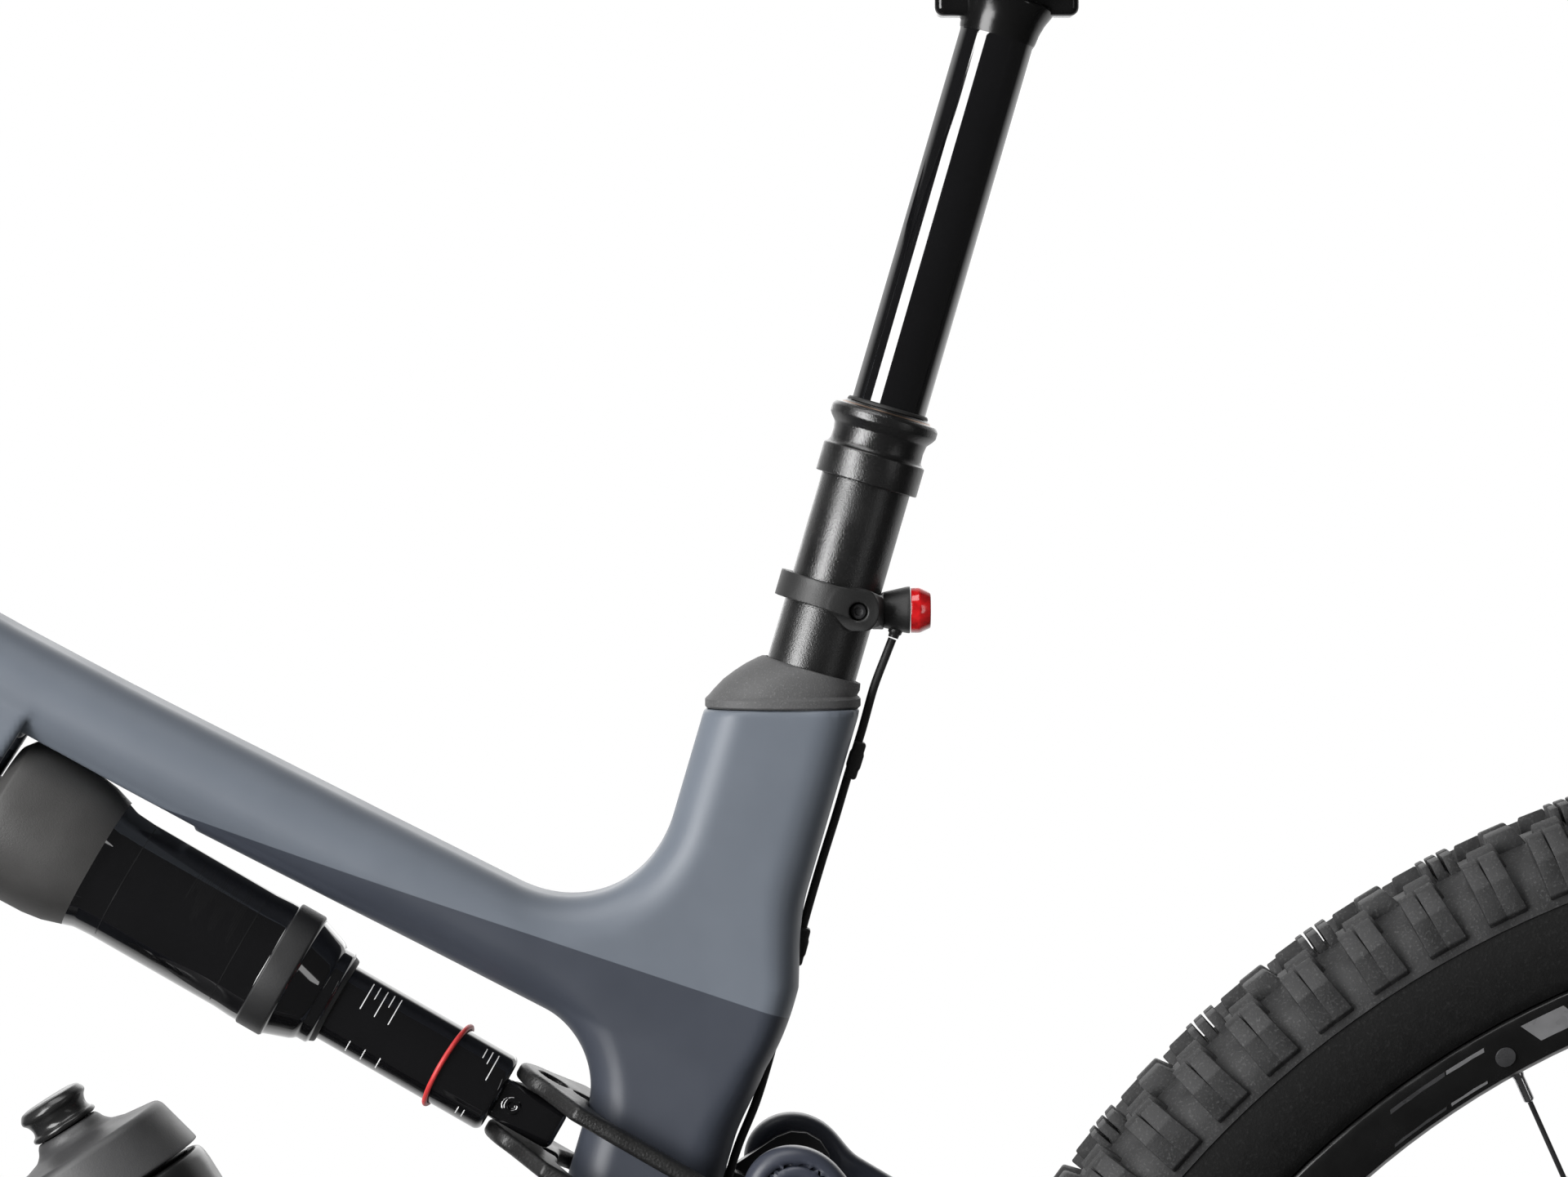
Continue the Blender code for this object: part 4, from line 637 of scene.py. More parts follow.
def net(name, field, low, high, cell):
    """A quad mesh of a field's zero level inside a box, its points moved onto the level."""
    low = np.array(low) - 2 * cell
    shape = np.ceil((np.array(high) + 2 * cell - low) / cell).astype(int) + 1
    values = sampled(field, low, cell, shape)
    inside = values < 0
    total = corner_count(inside)
    mixed = (total > 0) & (total < 8)
    index = np.full(mixed.shape, -1)
    index[mixed] = np.arange(mixed.sum())
    cells = np.argwhere(mixed)
    corners = np.array([(i, j, k) for i in (0, 1) for j in (0, 1) for k in (0, 1)])
    sums = np.zeros((len(cells), 3))
    hits = np.zeros(len(cells))
    for a in range(8):
        for b in range(a + 1, 8):
            if np.abs(corners[a] - corners[b]).sum() != 1:
                continue
            first = values[tuple((cells + corners[a]).T)]
            second = values[tuple((cells + corners[b]).T)]
            cross = (first < 0) != (second < 0)
            t = np.where(cross, first / np.where(cross, first - second, 1), 0)
            sums += cross[:, None] * (corners[a] + t[:, None] * (corners[b] - corners[a]))
            hits += cross
    points = low + (cells + sums / hits[:, None]) * cell
    points = settled(field, points, cell)
    faces = []
    for axis in range(3):
        u = (axis + 1) % 3
        v = (axis + 2) % 3
        step = np.eye(3, dtype=int)
        spots = np.argwhere(np.diff(inside.astype(np.int8), axis=axis) != 0)
        spots = spots[(spots[:, u] > 0) & (spots[:, v] > 0)]
        spots = spots[(spots[:, u] < mixed.shape[u]) & (spots[:, v] < mixed.shape[v])]
        ring = [spots - step[u] - step[v], spots - step[v], spots, spots - step[u]]
        quads = np.stack([index[tuple(cell_spots.T)] for cell_spots in ring], 1)
        starts_in = inside[tuple(spots.T)]
        quads = np.where(starts_in[:, None], quads, quads[:, ::-1])
        faces.append(quads[(quads >= 0).all(1)])
    return mesh_from(name, points, np.concatenate(faces), 180.0, turned_out=False)


def netted(name, node, field, paint, slot, cell, quick_cell=None):
    """A piece made from a field inside the box of the CAD node that it stands for."""
    low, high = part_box(node)
    mesh = net(name, field, low, high, quick_cell if quick_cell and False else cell)
    link_piece(name, mesh, paint, BODY_OF[node], (node,), slot)


def corner_count(inside):
    total = np.zeros([n - 1 for n in inside.shape], np.int8)
    for i in (0, 1):
        for j in (0, 1):
            for k in (0, 1):
                total += inside[
                    i : inside.shape[0] - 1 + i, j : inside.shape[1] - 1 + j, k : inside.shape[2] - 1 + k
                ]
    return total


def settled(field, points, cell, rounds=4):
    """Moves points along the field's slope until they lie on its zero level."""
    small = cell * 0.05
    for _ in range(rounds):
        value = field(points)
        slope = np.stack(
            [field(points + step) - field(points - step) for step in np.eye(3) * small], -1
        ) / (2 * small)
        size = np.maximum((slope**2).sum(-1), 0.25)
        move = -slope * (value / size)[:, None]
        length = np.linalg.norm(move, axis=1)
        points = points + move * np.minimum(1, cell * 0.4 / np.maximum(length, 1e-9))[:, None]
    return points


# Main frame

TOP_TUBE = [
    (-0.330, 0.928, 0.0200), (-0.190, 0.8495, 0.0185), (-0.0556, 0.7747, 0.0171),
    (0.0431, 0.7238, 0.0171), (0.1144, 0.6878, 0.0172), (0.185, 0.652, 0.0175),
]
DOWN_TUBE = [
    (0.0290, 0.3815, 0.034), (0.0025, 0.4246, 0.031), (-0.0982, 0.5858, 0.031), (-0.165, 0.692, 0.031),
    (-0.235, 0.790, 0.030), (-0.300, 0.860, 0.029), (-0.338, 0.896, 0.026),
]
CRADLE = [
    (0.010, 0.410), (0.018, 0.335), (0.036, 0.300), (0.056, 0.296), (0.058, 0.374), (0.083, 0.4000),
    (0.151, 0.4020), (0.180, 0.3960), (0.214, 0.4080), (0.208, 0.434), (0.178, 0.450), (0.164, 0.500),
    (0.118, 0.500), (0.106, 0.469), (0.044, 0.429),
]
SHOCK_EAR = [
    (-0.0714, 0.7366, 0.011), (-0.052, 0.768, 0.012), (-0.088, 0.787, 0.012), (-0.0714, 0.7366, 0.011)
]
TOP_ROUTE = [tuple(point) for point in smooth_curve(TOP_TUBE, 3)]
DOWN_ROUTE = [tuple(point) for point in smooth_curve(DOWN_TUBE, 3)]


def top_tube_side(x, z):
    """How far above the top tube's centre line a point is, from -1 below it to 1 above."""
    height = z - np.interp(x, [p[0] for p in TOP_TUBE], [p[1] for p in TOP_TUBE])
    return np.clip(height / 0.014, -1, 1)


def frame_field(p):
    x, y, z = p[..., 0], p[..., 1], p[..., 2]
    top = tapered(x, z, TOP_ROUTE)
    along = np.array((SEAT_TUBE_TOP - SEAT_TUBE_LOW).normalized())
    off = (x - SEAT_TUBE_LOW.x) * along[2] - (z - SEAT_TUBE_LOW.z) * along[0]
    seat = np.abs(off) - 0.0259
    seat = np.maximum(seat, SEAT_TUBE_LOW.z + 0.02 - z)
    above = (top_tube_side(x, z) + 1) / 2
    radius = 0.0236 + (0.0450 - 0.0236) * above
    flat = -rounded(radius - top, radius - seat, radius)
    near_seat = np.clip((x - 0.09) / 0.10, 0, 1)
    near_head = np.clip((-0.14 - x) / 0.20, 0, 1)
    half = 0.0236 - 0.0021 * near_seat - 0.0026 * near_head
    half = half - 0.0052 * np.clip(-top_tube_side(x, z), 0, 1) ** 1.5 * (1 - near_seat)
    shape = slab(flat, y, half, 0.0145)
    shape = larger(shape, z - SEAT_TUBE_TOP.z - 3 * np.maximum(0.15 - x, 0), 0.0016)
    down = slab(tapered(x, z, DOWN_ROUTE), y, 0.0325, 0.0130)
    shape = smaller(shape, down, 0.014)
    cradle = slab(polygon(x, z, CRADLE), y, 0.0302, 0.0050)
    shape = smaller(shape, cradle, 0.012)
    head = bar(p, steer(0.006), steer(0.121), 0.0310, 0.0265)
    shape = smaller(shape, head, 0.012)
    shape = smaller(shape, pin(p, ROCKER_PIVOT, -0.0325, 0.0325, 0.017), 0.004)
    shape = smaller(shape, pin(p, MAIN_PIVOT, -0.0305, 0.0305, 0.0145), 0.003)
    height = (p - np.array(CROWN_RACE)) @ np.array(STEER_UP)
    forward = (p - np.array(CROWN_RACE)) @ np.array(STEER_FORWARD)
    ends = np.maximum(height - 0.121, 0.006 - height) - 3 * np.maximum(-0.040 - forward, 0)
    shape = larger(shape, ends, 0.0016)
    shape = larger(shape, -bar(p, shock(0.013), shock(0.080), 0.0300), 0.002)
    ears = slab(tapered(x, z, SHOCK_EAR), np.abs(y) - 0.018, 0.004, 0.0015)
    shape = smaller(shape, ears, 0.002)
    bores = np.minimum.reduce(
        [
            bar(p, post(-0.320), post(0.1), POST_RADIUS + 0.0005),
            bar(p, steer(-0.02), steer(0.16), 0.0212),
            pin(p, ROCKER_PIVOT, -0.05, 0.05, 0.0086),
            pin(p, MAIN_PIVOT, -0.05, 0.05, 0.0086),
            brick(p, down_axes(0.155, -0.0110), (0.0700, 0.0530, 0.330), 0.002),
            bar(p, (0.1700, 0, 0.4900), (0.1480, 0, 0.4460), 0.0022),
            pin(p, SHOCK_EYE, -0.05, 0.05, 0.0055),
        ]
    )
    return larger(shape, -bores, 0.0008)


def down_axes(along, out):
    normal = Vector((DOWN_TUBE_AXIS.z, 0, -DOWN_TUBE_AXIS.x))
    return axes(DOWN_TUBE_LOW + DOWN_TUBE_AXIS * along + normal * out, DOWN_TUBE_AXIS, normal)


netted("frame_shell", "main_frame", frame_field, TWO_TONE, "frame_paint", 0.0017, 0.0030)


# Seat post, its cover and the rear light

COVER_TOP = -0.0587
COVER_FOOT = (0.0264, 0.0212)
COVER_NECK = 0.0176


def make_seat_cover():
    """A moulded boot from the seat tube's top to the post, with a lip round its foot."""
    base = Vector((0.2160, 0, SEAT_TUBE_TOP.z + 0.0003))
    top = post(COVER_TOP)
    across = Vector((POST_AXIS.z, 0, -POST_AXIS.x))
    rings = []
    levels = [
        (0.0, 0.0000, 0.0), (0.0, 0.0006, 0.0006), (0.0, 0.0030, 0.0006), (0.0, 0.0036, 0.0001),
        (0.0, 0.0042, -0.0006), (0.10, 0.0042, -0.0004), (0.30, 0.0038, 0.0), (0.50, 0.0030, 0.0),
        (0.70, 0.0020, 0.0), (0.90, 0.0007, 0.0), (0.985, 0.0, 0.0), (1.0, 0.0, -0.0009),
    ]
    count = 72
    for t, rise, grow in levels:
        centre = base.lerp(top, t) + Vector((0, 0, rise))
        direction = Vector((1, 0, 0)).lerp(across, t).normalized()
        half = COVER_FOOT[0] + (COVER_NECK - COVER_FOOT[0]) * t + grow
        width = COVER_FOOT[1] + (COVER_NECK - COVER_FOOT[1]) * t + grow
        power = 2.5 - 0.5 * t
        ring = []
        for angle in turns(count):
            c = math.cos(angle)
            s = math.sin(angle)
            u = math.copysign(abs(c) ** (2 / power), c) * half
            v = math.copysign(abs(s) ** (2 / power), s) * width
            ring.append(centre + direction * u + Vector((0, v, 0)))
        rings.append(ring)
    inner = POST_RADIUS + 0.0004
    for along in (COVER_TOP - 0.0010, -0.0735):
        ring = [across * inner * math.cos(a) + Vector((0, inner * math.sin(a), 0)) for a in turns(count)]
        rings.append([post(along) + point for point in ring])
    mesh = skin("seat_boot", rings, 35.0, True)
    link_piece("seat_boot", mesh, COVER_RUBBER, "frame", ("seat_clamp_cover",), "grey_rubber")


POST_FRAME = axes(POST_POINT, POST_AXIS)


def make_post():
    outer = ring_profile([(POST_RADIUS, 0.0172), (POST_RADIUS, -0.300)], STANCHION_RADIUS + 0.0005)
    turned("post_tube", POST_FRAME, outer, POWDER_BLACK, "seat_post_outer", "black_alloy", 96, True)
    collar = [
        (0.0145, 0.0348), (0.0156, 0.0340, 1), (0.0160, 0.0336), (0.0180, 0.0333), (0.0190, 0.0320),
        (0.0190, 0.0295), (0.0181, 0.0281), (0.0166, 0.0264), (0.0162, 0.0235), (0.0163, 0.0205),
        (0.0170, 0.0192), (0.0181, 0.0186), (0.0181, 0.0083), (POST_RADIUS + 0.0005, 0.0083),
        (POST_RADIUS + 0.0005, 0.0178), (STANCHION_RADIUS + 0.0004, 0.0178),
        (STANCHION_RADIUS + 0.0004, 0.0348),
    ]
    paints = [POWDER_BLACK, BRONZE]
    turned("post_collar", POST_FRAME, collar, paints, "seat_post_collar", "black_alloy", 96, True, 0.0005)
    wiper = ring_profile([(0.0138, 0.0362), (0.0143, 0.0358), (0.0146, 0.0349)], STANCHION_RADIUS + 0.0001)
    mesh = lathe("post_wiper", POST_FRAME, wiper, 96, True, 0.0002)
    link_piece("post_wiper", mesh, BLACK_RUBBER, "frame", (), "soft_rubber")
    inner = [
        (0, 0.1845), (0.0165, 0.1842), (0.0174, 0.1830), (0.0164, 0.1806), (0.0151, 0.1775),
        (0.0142, 0.1740), (0.0138, 0.1705), (0.0135, 0.1695, 1), (STANCHION_RADIUS, 0.1685, 1),
        (STANCHION_RADIUS, -0.1600, 1), (0, -0.1600),
    ]
    reach = Vector((0.03, 0.012, 0.004))
    parts = [
        lathe("stanchion", POST_FRAME, inner, 96, False, 0.0030),
        net("ears", ears_field, post(0.1690) - reach, post(0.1860) + reach, 0.0007),
    ]
    link_piece(
        "post_stanchion", parts, [HEAD_BLACK, GLOSS_BLACK], "dropper", ("seat_post_inner",), "gloss_black"
    )


def ears_field(p):
    """The cross bar on top of the post that the saddle clamp bolts to."""
    matrix = axes(post(0.1815), (0, 0, 1), (1, 0, 0))
    return brick(p, matrix, (0.0500, 0.0160, 0.0090), 0.0032)


LIGHT_CENTRE = Vector((0.2483, 0, 0.7962))
LIGHT_SCREW = Vector((0.2420, 0, 0.7962))
CABLE_RADIUS = 0.0015


def light_clamp_field(p):
    away = np.linalg.norm(np.cross(p - np.array(POST_POINT), np.array(POST_AXIS)), axis=-1)
    along = (p - np.array(POST_POINT)) @ np.array(POST_AXIS)
    ring = np.maximum(away - 0.0197, np.abs(along + 0.0326) - 0.0045)
    ear = pin(p, LIGHT_SCREW, -0.0165, 0.0165, 0.0072)
    across = np.hypot(p[..., 1], p[..., 2] - LIGHT_CENTRE.z)
    cone = np.maximum(across - 0.0058 - (p[..., 0] - 0.2455) * 0.14, np.abs(p[..., 0] - 0.2462) - 0.0046)
    shape = smaller(smaller(ring, ear, 0.0045), cone, 0.003)
    shape = larger(shape, p[..., 0] - 0.2509, 0.0004)
    screw = pin(p, LIGHT_SCREW, -0.0200, -0.0150, 0.0032)
    shape = larger(shape, -screw, 0.0006)
    return larger(shape, -(away - POST_RADIUS - 0.0004), 0.0006)


def make_rear_light():
    low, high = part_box("light_clamp")
    cell = 0.0005
    mesh = net("light_bracket", light_clamp_field, low - Vector((0, 0.001, 0)), high, cell)
    link_piece("light_bracket", mesh, PLASTIC_BLACK, "frame", ("light_clamp",), "black_plastic")
    head = axes(LIGHT_SCREW + Vector((0, -0.0150, 0)), (0, -1, 0), (1, 0, 0))
    screw = [(0, 0.0004), (0.0013, 0.0004), (0.0014, 0.0012), (0.0026, 0.0011), (0.0029, 0.0002), (0, 0)]
    mesh = lathe("bracket_screw", head, screw, 32, False, 0.0002)
    link_piece("bracket_screw", mesh, SATIN_BLACK, "frame", (), "black_alloy")
    body = axes(LIGHT_CENTRE, (1, 0, 0))
    housing = [
        (0, 0.0020), (0.0060, 0.0020), (0.0062, 0.0026), (0.0072, 0.0068), (0.0080, 0.0104),
        (0.0082, 0.0118), (0, 0.0118),
    ]
    boot = sweep(
        "boot",
        [
            (0.2557, 0, 0.7925),
            (0.2551, 0, 0.7892),
            (0.2547, 0, 0.7882),
            (0.2546, 0, 0.7878),
            (0.2542, 0, 0.7866),
        ],
        [0.0026, 0.0025, 0.0024, 0.0019, 0.0018],
        20,
    )
    parts = [lathe("housing", body, housing, 64, False, 0.0005), boot]
    link_piece("light_housing", parts, PLASTIC_BLACK, "frame", ("tail_light_housing",), "black_plastic")
    lens = [
        (0, 0.0121), (0.0080, 0.0121), (0.0080, 0.0150), (0.0078, 0.0156), (0.0063, 0.0188),
        (0.0058, 0.0190), (0.0055, 0.0186), (0.0030, 0.0188), (0, 0.0187),
    ]
    turned("light_lens", body, lens, LENS_RED, "tail_light_lens", "red_lens", 24, False, 0.0003)


CABLE_ROUTE = [
    (0.2540, 0.7862), (0.2520, 0.7811), (0.2477, 0.7698), (0.2445, 0.7584), (0.2429, 0.7528),
    (0.2385, 0.7386), (0.2343, 0.7244), (0.2299, 0.7103), (0.2257, 0.6961), (0.2218, 0.6820),
    (0.2181, 0.6678), (0.2147, 0.6536), (0.2110, 0.6395), (0.2066, 0.6253), (0.2008, 0.6111),
    (0.1972, 0.5995), (0.1905, 0.5740), (0.1830, 0.5480), (0.1762, 0.5240), (0.1716, 0.5050),
    (0.1680, 0.4860), (0.1640, 0.4780),
]
CLIPS = {"cable_clip_upper": 0.7442, "cable_clip_lower": 0.6797}


def cable_x(height):
    places, heights = zip(*reversed(CABLE_ROUTE))
    return float(np.interp(height, heights, places))


def make_cable():
    route = [(x, 0, z) for x, z in smooth_curve(CABLE_ROUTE, 6)]
    mesh = sweep("light_lead", route, [CABLE_RADIUS] * len(route))
    link_piece("light_lead", mesh, BLACK_RUBBER, "frame", ("light_cable",), "soft_rubber")
    for node, height in CLIPS.items():
        x = cable_x(height)
        along = Vector((cable_x(height + 0.006) - cable_x(height - 0.006), 0, 0.012)).normalized()
        matrix = axes(Vector((x + 0.0008, 0, height)), along, (1, 0, 0))
        middle = Vector((x, 0, height))

        def clip_field(p):
            block = brick(p, matrix, (0.0044, 0.0070, 0.0134), 0.0012)
            band = brick(p, matrix, (0.0050, 0.0076, 0.0060), 0.0010)
            hole = bar(p, middle - along * 0.02, middle + along * 0.02, 0.0017)
            return larger(smaller(block, band, 0.0006), -hole, 0.0003)

        netted(node + "_piece", node, clip_field, PLASTIC_BLACK, "black_plastic", 0.00045)


make_seat_cover()
make_post()
make_rear_light()
make_cable()

# Shock and yoke

SHOCK_FRAME = axes(SHOCK_EYE, SHOCK_AXIS)
CAN_RADIUS = 0.0224
SHAFT_RADIUS = 0.0144
RING_PLACE = 0.1975


def make_shock():
    can = [
        (0, 0.0150), (0.0225, 0.0150), (0.0270, 0.0185), (0.0278, 0.0240), (0.0272, 0.0430),
        (0.0262, 0.0500), (0.0240, 0.0572, 1), (0.0228, 0.0610, 1), (CAN_RADIUS, 0.0680, 1),
        (CAN_RADIUS, 0.1170, 1), (0.0228, 0.1230, 1), (0.0228, 0.1258, 2), (0.0234, 0.1262, 2),
        (0.0234, 0.1352, 2), (0.0228, 0.1358, 1), (0.0222, 0.1362, 1), (0.0192, 0.1448, 1),
        (0.0184, 0.1462, 1), (0.0176, 0.1470, 1), (0.0176, 0.1506, 1), (0.0166, 0.1512, 3),
        (0.0158, 0.1530, 3), (0.0149, 0.1532, 3), (0.0149, 0.0480, 3), (0, 0.0480, 3),
    ]
    reach = Vector((0.016, 0.026, 0.014))
    parts = [
        lathe("can", SHOCK_FRAME, can, 96, False, 0.0009),
        net("eye", shock_eye_field, shock(-0.004) - reach, shock(0.020) + reach, 0.0009),
    ]
    paints = [MATTE_BLACK, GLOSS_BLACK, BAND_BLACK, BLACK_RUBBER]
    link_piece("shock_body", parts, paints, "shock_can", ("shock_can",), "gloss_black")
    panel = [
        arc_band(CAN_RADIUS + 0.00005, 0.0690, 0.0694, -62, 72),
        arc_band(CAN_RADIUS + 0.00005, 0.1146, 0.1150, -62, 72),
    ]
    for i in range(26):
        start = 0.0905 + 0.0008 * i
        angles = (18 + 14 * math.sin(i * 0.7), 52 + 12 * math.cos(i * 1.1))
        panel.append(arc_band(CAN_RADIUS + 0.00004, start, start + 0.00022, *angles))
    link_piece("shock_panel", panel, GREY_INK, "shock_can", (), "gloss_black")
    shaft = [
        (0, 0.2180), (0.0128, 0.2180), (0.0138, 0.2172), (SHAFT_RADIUS, 0.2160), (SHAFT_RADIUS, 0.1000),
        (0, 0.1000),
    ]
    reach = Vector((0.022, 0.012, 0.022))
    parts = [
        lathe("shaft", SHOCK_FRAME, shaft, 96, False, 0.0006),
        net("end", shock_end_field, shock(0.2290) - reach, shock(0.2290) + reach, 0.0008),
    ]
    link_piece("shock_shaft_tube", parts, GLOSS_BLACK, "shock_shaft", ("shock_shaft",), "gloss_black")
    link_piece("shaft_marks", shaft_marks(), WHITE_INK, "shock_shaft", (), "steel")
    lean = math.radians(9)
    matrix = axes(shock(RING_PLACE), SHOCK_AXIS * math.cos(lean) - Vector((0, math.sin(lean), 0)), SHOCK_UP)
    points = []
    for angle in turns(72):
        points.append(matrix @ Vector((0.0154 * math.cos(angle), 0.0154 * math.sin(angle) * 1.012, 0)))
    ring = loop("travel_ring", points, 0.0009, 12)
    link_piece("travel_ring", ring, RED_RUBBER, "shock_shaft", ("shock_o_ring",), "red_rubber")


def loop(name, route, radius, sides):
    """A round bar along a closed route."""
    count = len(route)
    centre = sum(route, Vector()) / count
    rings = []
    for i, point in enumerate(route):
        along = (route[(i + 1) % count] - route[i - 1]).normalized()
        out = (point - centre).normalized()
        up = along.cross(out).normalized()
        rings.append([point + out * radius * math.cos(a) + up * radius * math.sin(a) for a in turns(sides)])
    return skin(name, rings, 60.0, True)


def arc_band(radius, low, high, start, end, lift=0.00006):
    """A thin band of ink on a cylinder round the shock, from one angle to another; 0 faces -Y, + is up."""
    steps = max(int(abs(end - start) / 4), 2)
    points = []
    for i in range(steps + 1):
        angle = math.radians(start + (end - start) * i / steps)
        out = Vector((0, -1, 0)) * math.cos(angle) + SHOCK_UP * math.sin(angle)
        for r in (radius - 0.0001, radius + lift):
            points += [shock(low) + out * r, shock(high) + out * r]
    return ribbon(points)


def shaft_marks():
    """The travel scale: long and short lines above and below the middle of the shaft's left side."""
    marks = []

    def line(along, low, high):
        angles = [math.degrees(math.asin(n / (SHAFT_RADIUS + 0.00005))) for n in (low, high)]
        marks.append(arc_band(SHAFT_RADIUS + 0.00001, along - 0.00018, along + 0.00018, *angles))

    for along in (0.1614, 0.1670, 0.1725):
        line(along, 0.0035, 0.0125)
    for along in (0.1641, 0.1697):
        line(along, 0.0085, 0.0125)
    for along in (0.1640, 0.1700, 0.1760):
        line(along, -0.0125, -0.0080)
    for along, low in ((0.2112, 0.0037), (0.2088, 0.0085), (0.2065, 0.0095)):
        line(along, low, 0.0125)
    for along in (0.2100, 0.2077):
        line(along, -0.0122, -0.0092)
    return marks


def shock_eye_field(p):
    neck = brick(p, axes(shock(0.009), SHOCK_AXIS, (0, 0, 1)), (0.018, 0.020, 0.022), 0.003)
    eye = pin(p, SHOCK_EYE, -0.0130, 0.0130, 0.0100)
    bolt = pin(p, SHOCK_EYE, -0.0235, 0.0235, 0.0050)
    return smaller(smaller(neck, eye, 0.003), bolt, 0.0005)


def shock_end_field(p):
    block = brick(p, axes(shock(0.2290), SHOCK_AXIS, (0, 0, 1)), (0.0150, 0.0200, 0.0260), 0.0028)
    centre = shock(0.2235)
    head = pin(p, centre, -0.0106, -0.0080, 0.0030)
    socket = pin(p, centre, -0.0120, -0.0095, 0.0014)
    return larger(smaller(block, head, 0.0004), -socket, 0.0003)


DECK_LEVEL = 0.0112
YOKE_BOLT = 0.2318


def yoke_field(p):
    """Two decks over and under the shock's end that open into arms past the seat tube."""
    q = local(p, axes(SHOCK_EYE, SHOCK_UP, SHOCK_AXIS))
    t, y, n = q[..., 0], q[..., 1], q[..., 2]
    wide = np.interp(t, [0.2200, 0.2280, 0.2430, 0.2600], [0.0095, 0.0140, 0.0315, 0.0325])
    plan = np.maximum((np.abs(y) - wide) * 0.75, np.maximum(0.2196 - t, t - 0.3080))
    nose = np.hypot(t - YOKE_BOLT, y) - 0.0125
    plan = smaller(larger(plan, 0.2250 - t, 0.004), nose, 0.006)
    slot = np.maximum(np.abs(y) - np.interp(t, [0.2430, 0.2520], [0.0120, 0.0245]), 0.2470 - t)
    plan = larger(plan, -slot, 0.005)
    shape = np.minimum(*[slab(plan, n - level, 0.0029, 0.0019) for level in (DECK_LEVEL, -DECK_LEVEL)])
    for sign in (-1, 1):
        low, high = sorted((sign * 0.0245, sign * 0.0325))
        shape = smaller(shape, pin(p, YOKE_PIVOT, low, high, 0.0145), 0.004)
        bore = pin(p, YOKE_PIVOT, low - 0.01, high + 0.01, 0.0082)
        shape = larger(shape, -bore, 0.0008)
    recess = np.maximum(nose + 0.0067, 0.0124 - n)
    socket = np.maximum(nose + 0.0101, 0.0095 - n)
    shape = larger(shape, -np.minimum(recess, socket), 0.0006)
    for level in (DECK_LEVEL, -DECK_LEVEL):
        hole = np.maximum(np.hypot((t - 0.2452) / 1.25, y) - 0.0042, np.abs(n - level) - 0.006)
        shape = larger(shape, -hole * 0.8, 0.0008)
    return shape


make_shock()
netted("shock_yoke", "yoke", yoke_field, ROUGH_BLACK, "black_alloy", 0.0008, 0.0011)

# Bottle and cage

BOTTLE_FRAME = axes(BOTTLE_TOP, BOTTLE_AXIS * -1)


def make_bottle():
    nozzle = [
        (0, 0.0037), (0.0085, 0.0035), (0.0112, 0.0028), (0.0125, 0.0008), (0.0125, -0.0004),
        (0.0113, -0.0016), (0.0106, -0.0032), (0.0105, -0.0048), (0.0110, -0.0060), (0.0121, -0.0066),
        (0.0122, -0.0078), (0.0110, -0.0085), (0.0070, -0.0086), (0.0070, -0.0300), (0, -0.0300),
    ]
    turned(
        "nozzle", BOTTLE_FRAME, nozzle, NOZZLE_BLACK, "bottle_nozzle", "bottle_plastic", 64, False, 0.0007
    )
    lid = [
        (0.0112, -0.0088), (0.0122, -0.0102), (0.0130, -0.0120), (0.0150, -0.0140), (0.0200, -0.0156),
        (0.0312, -0.0172), (0.0326, -0.0190), (0.0362, -0.0346), (0.0362, -0.0354), (0.0350, -0.0358),
        (0.0320, -0.0358), (0.0320, -0.0320), (0.0076, -0.0320), (0.0076, -0.0088),
    ]
    turned("lid", BOTTLE_FRAME, lid, BOTTLE_LID, "bottle_lid", "bottle_plastic", 96, True, 0.0010)
    body = [
        (0, -0.1925), (0.0320, -0.1900), (0.0330, -0.1880), (0.0330, -0.0540), (0.0285, -0.0450),
        (0.0285, -0.0330), (0.0310, -0.0330), (0.0310, -0.0376), (0.0338, -0.0374), (0.0354, -0.0382),
        (0.0362, -0.0402), (0.0365, -0.0440), (0.0365, -0.0930), (0.0352, -0.0970), (0.0341, -0.1010),
        (0.0352, -0.1050), (0.0365, -0.1090), (0.0365, -0.1880), (0.0350, -0.1930), (0.0300, -0.1950),
        (0.0240, -0.1935), (0, -0.1928),
    ]
    turned(
        "bottle_shell", BOTTLE_FRAME, body, BOTTLE_BLACK, "bottle_body", "bottle_plastic", 96, False, 0.0012
    )
    refined("bottle_cage", PLASTIC_BLACK, 0.0006, 2, "black_plastic")


# Wheels

ROWS = 96
ROW_ANGLE = math.tau / ROWS
TREAD_PHASE = 0.25
SPOKES = 28
SPOKE_PHASE = 0.2325
SPOKE_ANGLE = 360 * (9 + SPOKE_PHASE) / SPOKES


